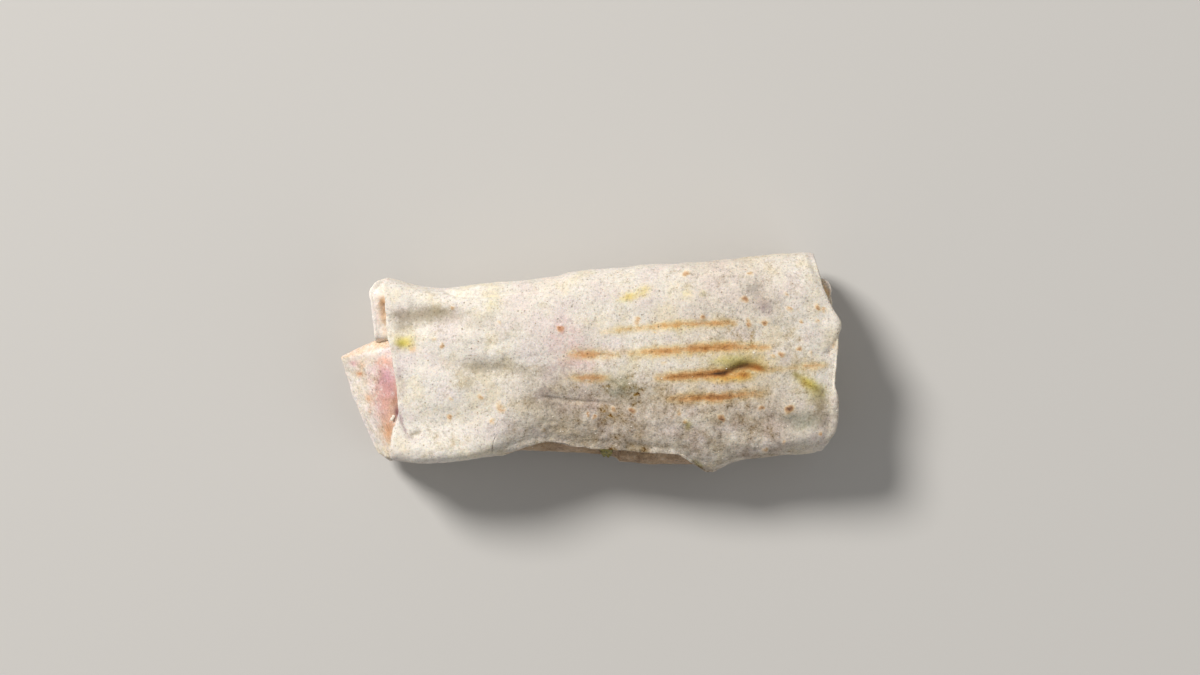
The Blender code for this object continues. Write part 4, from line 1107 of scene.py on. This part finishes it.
def browned(tree, colour, level, browns):
    """A colour darkened by a ramp of browns that starts at white."""
    ramp = add_node(tree, "ShaderNodeValToRGB", {0: level})
    stops = ramp.color_ramp.elements
    stops.remove(stops[1])
    stops[0].position, stops[0].color = 0.0, (1, 1, 1, 1)
    for position, brown in browns:
        stops.new(position).color = brown
    return blend_colour(tree, 1.0, colour, ramp.outputs[0], "MULTIPLY")


def make_toasting():
    tree, given = new_tree(
        "toasting", "ShaderNodeTree",
        [("Dough", COLOUR, (0.8, 0.74, 0.62, 1)), ("Toast", FLOAT, 0.0), ("Spot", FLOAT, 0.0),
         ("Break-up", FLOAT, 0.5), ("Seed", FLOAT, 0.0)],
        [("Colour", COLOUR), ("Crust", FLOAT)])
    place = object_place(tree)
    stretched = add_node(tree, "ShaderNodeMapping", {
        "Vector": place, "Rotation": (0.0, 0.0, math.radians(STREAK_TURN)),
        "Scale": (STREAK_STRETCH, 1.0, 1.0)})
    rough = cloud(tree, stretched.outputs[0], 0.9, 3.0, 0.70, given["Seed"])
    lumps = cloud(tree, place, 3.5, 2.0, 0.60, given["Seed"])
    swing = calculate(tree, "ADD", calculate(tree, "SUBTRACT", rough, 0.5),
                      calculate(tree, "SUBTRACT", lumps, 0.5))
    swing = calculate(tree, "MULTIPLY", swing, given["Break-up"])
    some = ramp_between(tree, given["Toast"], 0.0, 0.30)
    level = calculate(tree, "MULTIPLY_ADD", swing, some, given["Toast"])
    brown = browned(tree, given["Dough"], calculate(tree, "MULTIPLY", level, BAR_STRENGTH), BAR_BROWNS)
    some = ramp_between(tree, given["Spot"], 0.0, 0.25)
    fleck = calculate(tree, "MULTIPLY_ADD", calculate(tree, "MULTIPLY", swing, some), SPOT_BREAK_UP,
                      given["Spot"])
    brown = browned(tree, brown, calculate(tree, "MULTIPLY", fleck, SPOT_STRENGTH), SPOT_BROWNS)
    add_node(tree, "NodeGroupOutput", {"Colour": brown, "Crust": ramp_between(tree, level, 0.1, 0.8)})
    return tree


# %% Soaking
def make_soaking():
    tree, given = new_tree(
        "soaking", "ShaderNodeTree",
        [("Bread", COLOUR, (0.8, 0.74, 0.62, 1)), ("Tint", COLOUR, (1, 1, 1, 1)),
         ("Patchiness", FLOAT, 0.80), ("Seed", FLOAT, 0.0)],
        [("Colour", COLOUR)])
    blotch = cloud(tree, object_place(tree), 2.2, 5.0, 0.68, given["Seed"])
    red, green, blue = split_colour(tree, given["Tint"])
    weakest = calculate(tree, "MINIMUM", calculate(tree, "MINIMUM", red, green), blue)
    strength = calculate(tree, "SUBTRACT", 1.0, weakest)
    level = calculate(tree, "MULTIPLY_ADD", strength, 0.42, calculate(tree, "SUBTRACT", blotch, 0.5))
    missing = calculate(tree, "MULTIPLY", ramp_between(tree, level, 0.22, -0.04), given["Patchiness"])
    tint = blend_colour(tree, calculate(tree, "SUBTRACT", 1.0, missing), (1, 1, 1, 1), given["Tint"])
    add_node(tree, "NodeGroupOutput", {"Colour": blend_colour(tree, 1.0, given["Bread"], tint, "MULTIPLY")})
    return tree


groups = {"dough": make_floury_dough(), "toasting": make_toasting(), "soaking": make_soaking()}
print("shader groups:", ", ".join(tree.name for tree in groups.values()))


# %% The bread material
BUMP_STRENGTH, BUMP_DEPTH = 0.55, 0.6
HALO, HALO_SHARE = (0.88, 0.82, 0.72, 1), 0.30      # paler dough round a blister


def new_material(name, plain):
    """A material with its tree and shader. What is the same all over is set on the shader itself."""
    material = bpy.data.materials.new(name)
    material.use_nodes = True
    shader = material.node_tree.nodes["Principled BSDF"]
    for socket, value in plain.items():
        shader.inputs[socket].default_value = value
    return material, material.node_tree, shader


def use_group(tree, name, values):
    return add_node(tree, "ShaderNodeGroup", values, node_tree=groups[name]).outputs


def read_attribute(tree, name, output="Fac"):
    return add_node(tree, "ShaderNodeAttribute", attribute_name=name).outputs[output]


def flatbread(name, pale, deep, contrast=1.0, pinholes=1.0, seed=0.0):
    """Floury bread that reads the attributes stored by paint."""
    material, tree, shader = new_material(name, {
        "Specular IOR Level": 0.28, "Subsurface Weight": 0.12, "Subsurface Radius": (1.0, 0.55, 0.3),
        "Subsurface Scale": 1.2 * MM, "Sheen Weight": 0.08, "Sheen Roughness": 0.6})
    dough = use_group(tree, "dough", {
        "Pale": (*pale, 1), "Deep": (*deep, 1), "Filling": read_attribute(tree, "filling"),
        "Contrast": contrast, "Pinholes": pinholes, "Seed": seed})
    halo = ramp_between(tree, read_attribute(tree, "bubble"), 0.05, 0.5, 0.0, HALO_SHARE)
    toasted = use_group(tree, "toasting", {
        "Dough": blend_colour(tree, halo, dough["Colour"], HALO), "Toast": read_attribute(tree, "toast"),
        "Spot": read_attribute(tree, "spot"), "Break-up": 0.8, "Seed": seed})
    soaked = use_group(tree, "soaking", {
        "Bread": toasted["Colour"], "Tint": read_attribute(tree, "tint", "Color"), "Seed": seed})
    rough = ramp_between(tree, dough["Flour"], 0.3, 0.7, 0.62, 0.82)
    bump = add_node(tree, "ShaderNodeBump", {
        "Strength": BUMP_STRENGTH, "Distance": BUMP_DEPTH * MM, "Height": dough["Height"]})
    set_input(tree, shader.inputs["Base Color"], soaked["Colour"])
    set_input(tree, shader.inputs["Roughness"],
              calculate(tree, "MULTIPLY_ADD", toasted["Crust"], -0.14, rough))
    set_input(tree, shader.inputs["Normal"], bump.outputs[0])
    return material


SKIN = (0.92, 0.885, 0.82), (0.55, 0.465, 0.365)            # pale and deep dough
FLAP_BREAD = (0.88, 0.82, 0.73), (0.64, 0.54, 0.47)
WALL_BREAD = (0.95, 0.91, 0.84), (0.72, 0.62, 0.51)
for piece, name, values in ((roll, "bread skin", (*SKIN, 1.0, 1.0, 1.0)),
                            (flap, "flap bread", (*FLAP_BREAD, 1.15, 0.8, 4.0)),
                            (pocket, "pocket_wall bread", (*WALL_BREAD, 0.8, 0.4, 7.0)),
                            (loop, "end_loop bread", (*WALL_BREAD, 0.8, 0.4, 7.0))):
    piece.data.materials.clear()
    piece.data.materials.append(flatbread(name, *values))
    print(piece.name, "wears", name)

# %% [markdown]
# ## The bit of parsley
# A leaf tip sticks out of the seam. It is thin and wavy with toothed sides, so it is a small grid whose
# width follows a rule, given two faces. It lies on the strip of bread under the free edge.

# %% The parsley leaf
LEAF_X, LEAF_ANGLES = (3.7, 9.4), (28.0, 10.5)
LEAF_THICKNESS, LEAF_LIFT, LEAF_WAVE = 0.35, 0.35, 0.3
LEAF_ROWS, LEAF_COLUMNS = 34, 25
TOOTH_DEPTH, VEIN_DEPTH, TIP_NARROWING = 0.16, 0.16, 0.72


def leaf_grid(lift):
    grid = []
    across = np.linspace(-1, 1, LEAF_COLUMNS)
    for share in np.linspace(0, 1, LEAF_ROWS):
        teeth = 1 - TOOTH_DEPTH * abs(math.sin(4.5 * math.pi * share))
        width = (1 - TIP_NARROWING * share ** 2.2) * teeth * (LEAF_X[1] - LEAF_X[0]) / 2
        x = mix(*LEAF_X, 0.5) + across * width
        vein = VEIN_DEPTH * np.exp(-(across / 0.10) ** 2)
        vein += 0.07 * np.cos(16 * (share - 0.35 * np.abs(across)))
        wave = LEAF_WAVE * (1 + np.sin(5 * share + 3 * across)) - vein
        y, z = section(x, math.radians(mix(*LEAF_ANGLES, share)), BREAD - LEAF_LIFT - lift - wave)
        grid.append(np.stack((x, y, z), axis=1))
    return grid


def two_faced(upper, lower):
    """A closed thin body between two grids, both split into triangles alike."""
    rows, columns = len(upper), len(upper[0])
    corner = np.arange(rows * columns).reshape(rows, columns)
    vertices = np.vstack((*upper, *lower))
    faces = []
    for start, flip in ((0, False), (rows * columns, True)):
        for i in range(rows - 1):
            for j in range(columns - 1):
                a, b, c, d = (int(k) + start for k in (corner[i, j], corner[i, j + 1],
                                                        corner[i + 1, j + 1], corner[i + 1, j]))
                faces += [(c, b, a), (d, c, a)] if flip else [(a, b, c), (a, c, d)]
    rim = [*corner[0, :], *corner[1:, -1], *corner[-1, -2::-1], *corner[-2:0:-1, 0]]
    for a, b in zip(rim, rim[1:] + rim[:1]):
        faces.append((int(b), int(a), int(a) + rows * columns, int(b) + rows * columns))
    return vertices, faces


def herb(name, light, dark):
    """A green leaf in two shades."""
    material, tree, shader = new_material(name, {"Subsurface Weight": 0.15, "Subsurface Scale": 0.5 * MM})
    lumps = cloud(tree, object_place(tree), 1.6, 3.0, 0.6, 2.0)
    colour = blend_colour(tree, ramp_between(tree, lumps, 0.35, 0.65), (*dark, 1), (*light, 1))
    set_input(tree, shader.inputs["Base Color"], colour)
    set_input(tree, shader.inputs["Roughness"], ramp_between(tree, lumps, 0.3, 0.7, 0.38, 0.6))
    return material


leaf = new_piece("parsley_sprig", *two_faced(leaf_grid(LEAF_THICKNESS), leaf_grid(0.0)))
leaf.data.materials.append(herb("parsley green", (0.38, 0.32, 0.07), (0.10, 0.09, 0.018)))
print("leaf:", len(leaf.data.polygons), "faces")

# %% [markdown]
# ## Crumbs and bran
# Floury bread sheds: pale crumbs and brown flakes of bran lie on it, each under a millimetre. Placing
# hundreds by hand makes no sense, so a node tree spreads points over the upward faces with a fixed seed,
# sets a little flattened ball on each, and turns and scales it by chance. One larger crumb beside the flap
# has its own place in the photo and is a small loft with two lobes.

# %% The scattering tree
FACING_UP = 0.35            # crumbs lie where the skin's normal points up by more than this
NARROWEST, NARROW_SEED = 0.45, 7


def random_number(tree, low, high, seed):
    """A number between two bounds, another one for each point."""
    made = add_node(tree, "FunctionNodeRandomValue", data_type="FLOAT")
    for name, value in (("Min", low), ("Max", high), ("Seed", seed)):
        set_input(tree, next(i for i in made.inputs if i.name == name and i.type in ("VALUE", "INT")), value)
    return next(o for o in made.outputs if o.type == "VALUE")


def make_crumb_tree():
    sizes = (("Per Square Metre", 1e4), ("Smallest", 0.15), ("Largest", 0.4), ("Flatness", 0.5))
    tree, given = new_tree("crumbs", "GeometryNodeTree",
                           [("Geometry", GEOMETRY), *((name, FLOAT, value) for name, value in sizes),
                            ("Seed", WHOLE_NUMBER, 1), ("Crumb", MATERIAL)], [("Geometry", GEOMETRY)])
    normal = add_node(tree, "GeometryNodeInputNormal").outputs[0]
    upwards = add_node(tree, "ShaderNodeSeparateXYZ", {0: normal}).outputs[2]
    spread = add_node(tree, "GeometryNodeDistributePointsOnFaces", {
        "Mesh": given["Geometry"], "Selection": calculate(tree, "GREATER_THAN", upwards, FACING_UP),
        "Density": given["Per Square Metre"], "Seed": given["Seed"]}).outputs
    ball = add_node(tree, "GeometryNodeMeshIcoSphere", {"Radius": MM, "Subdivisions": 2})
    radius = random_number(tree, given["Smallest"], given["Largest"], given["Seed"])
    narrow = random_number(tree, NARROWEST, 1.0, NARROW_SEED)
    scale = add_node(tree, "ShaderNodeCombineXYZ", {
        0: radius, 1: calculate(tree, "MULTIPLY", radius, narrow),
        2: calculate(tree, "MULTIPLY", radius, given["Flatness"])})
    placed = add_node(tree, "GeometryNodeInstanceOnPoints", {
        "Points": spread["Points"], "Instance": ball.outputs["Mesh"], "Rotation": spread["Rotation"],
        "Scale": scale.outputs[0]})
    return finish_geometry(tree, placed.outputs[0], given["Crumb"])


# %% Scattering the crumbs
def plain_material(name, colour, roughness):
    return new_material(name, {"Base Color": (*colour, 1), "Roughness": roughness})[0]


crumb_tree = make_crumb_tree()
flour_bit = plain_material("flour bit", (0.80, 0.73, 0.62), 0.95)
bran_bit = plain_material("bran bit", (0.36, 0.22, 0.12), 0.7)
CRUMBS = {"flour_crumbs": {"Per Square Metre": 1.0e4, "Smallest": 0.12, "Largest": 0.34, "Flatness": 0.5,
                           "Seed": 5, "Crumb": flour_bit},
          "bran_flakes": {"Per Square Metre": 1.6e4, "Smallest": 0.10, "Largest": 0.28, "Flatness": 0.25,
                          "Seed": 11, "Crumb": bran_bit}}
crumbs = []
for name, values in CRUMBS.items():
    piece = grow(new_object(name, roll.data.copy()), crumb_tree, values)
    move_points(piece, np.clip(points_of(piece), low_corner + ROOM, high_corner - ROOM / 2))
    crumbs.append(piece)
    print(name, len(piece.data.polygons), "faces")

# %% The crumb beside the flap
CRUMB_PLACE, CRUMB_TURN = (-78.3, -21.9), 62.0
CRUMB_HALF_LENGTH, CRUMB_RADIUS, CRUMB_WAIST = 1.35, 0.85, 0.35
CRUMB_FLATNESS, CRUMB_RAISED = 0.7, 0.3     # shares of its radius

flap_points = points_of(flap)
near = np.hypot(*(flap_points[:, :2] - CRUMB_PLACE).T) < 1.0
crumb_height = flap_points[near, 2].max()
turn = math.radians(CRUMB_TURN)
around = np.linspace(0, 2 * math.pi, 18, endpoint=False)
rings = []
for share in np.linspace(0.03, 0.97, 20):
    waist = 1 - CRUMB_WAIST * math.exp(-((share - 0.55) / 0.12) ** 2)
    radius = CRUMB_RADIUS * math.sin(math.pi * share) ** 0.5 * waist * (
        1 + 0.12 * np.sin(3 * around + 9 * share))
    length, side = CRUMB_HALF_LENGTH * (2 * share - 1), radius * np.cos(around)
    rings.append(np.stack((CRUMB_PLACE[0] + length * math.cos(turn) - side * math.sin(turn),
                           CRUMB_PLACE[1] + length * math.sin(turn) + side * math.cos(turn),
                           crumb_height + CRUMB_RAISED * CRUMB_RADIUS
                           + CRUMB_FLATNESS * radius * np.sin(around)), axis=1))
crumb = lofted_piece("crumb_by_flap", rings)
crumb.data.materials.append(flour_bit)
crumbs.append(crumb)
print("crumb at height", round(crumb_height, 1), "mm")

# %% [markdown]
# ## Riding on the frame
# The imported model has one body, so every piece rides on it. The roll and the leaf stand for the two solids
# of the model, which are then hidden.

# %% Riding on the frame
for piece in (roll, flap, pocket, loop, *crumbs):
    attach(piece, "root")
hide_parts("wrap_bread")
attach(leaf, "root")
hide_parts("parsley_leaf")
print("riding on the root:", 5 + len(crumbs), "pieces")

# %% [markdown]
# ## Floor, light and camera
# The wrap lies on a plain pale floor. A large soft light stands behind on the left, as the shadows in the
# folds show, and a weak one fills in from the right. The camera looks straight down.

# %% The studio
CAMERA_PLACE = (4.1, 10.1, 1522.0)
SENSOR, FRAME_WIDTH, FOCUS_DISTANCE = 36.0, 481.2, 1500.0
FAR_END = 20.0              # metres that the camera sees
FLOOR_HALF = 3000.0
FLOOR_GREY, WORLD_LIGHT = (0.56, 0.54, 0.51), 0.26
LAMPS = (  # name, place, diameter, watts, colour
    ("key", (-1800.0, 1800.0, 2300.0), 1040.0, 132.0, (1.0, 0.985, 0.965)),
    ("fill", (1100.0, -500.0, 900.0), 1200.0, 3.0, (0.96, 0.98, 1.0)),
)

corners = [(x * FLOOR_HALF, y * FLOOR_HALF, 0) for x, y in ((-1, -1), (1, -1), (1, 1), (-1, 1))]
floor = new_piece("studio_floor", corners, [(0, 1, 2, 3)])
floor.data.materials.append(plain_material("pale floor", FLOOR_GREY, 0.9))
print("floor:", 2 * FLOOR_HALF * MM, "m wide")

# %% Lamps and the light all round
for name, place, size, watts, colour in LAMPS:
    data = bpy.data.lights.new(name, "AREA")
    data.shape, data.size, data.energy, data.color = "DISK", size * MM, watts, colour
    lamp = new_object(name, data)
    lamp.location = [c * MM for c in place]
    lamp.rotation_euler = lamp.location.to_track_quat("Z", "Y").to_euler()

world = bpy.data.worlds.new("studio")
world.use_nodes = True
background = world.node_tree.nodes["Background"]
background.inputs["Color"].default_value = (1.0, 1.0, 1.0, 1)
background.inputs["Strength"].default_value = WORLD_LIGHT
bpy.context.scene.world = world
bpy.context.scene.view_settings.view_transform = "Standard"
print("lamps:", ", ".join(name for name, *_ in LAMPS))

# %% The camera
camera_data = bpy.data.cameras.new("camera")
camera_data.sensor_width = SENSOR
camera_data.lens = SENSOR * FOCUS_DISTANCE / FRAME_WIDTH
camera_data.clip_end = FAR_END
camera = new_object("camera", camera_data)
camera.location = [c * MM for c in CAMERA_PLACE]
bpy.context.scene.camera = camera
print("lens:", round(camera_data.lens, 1), "mm")
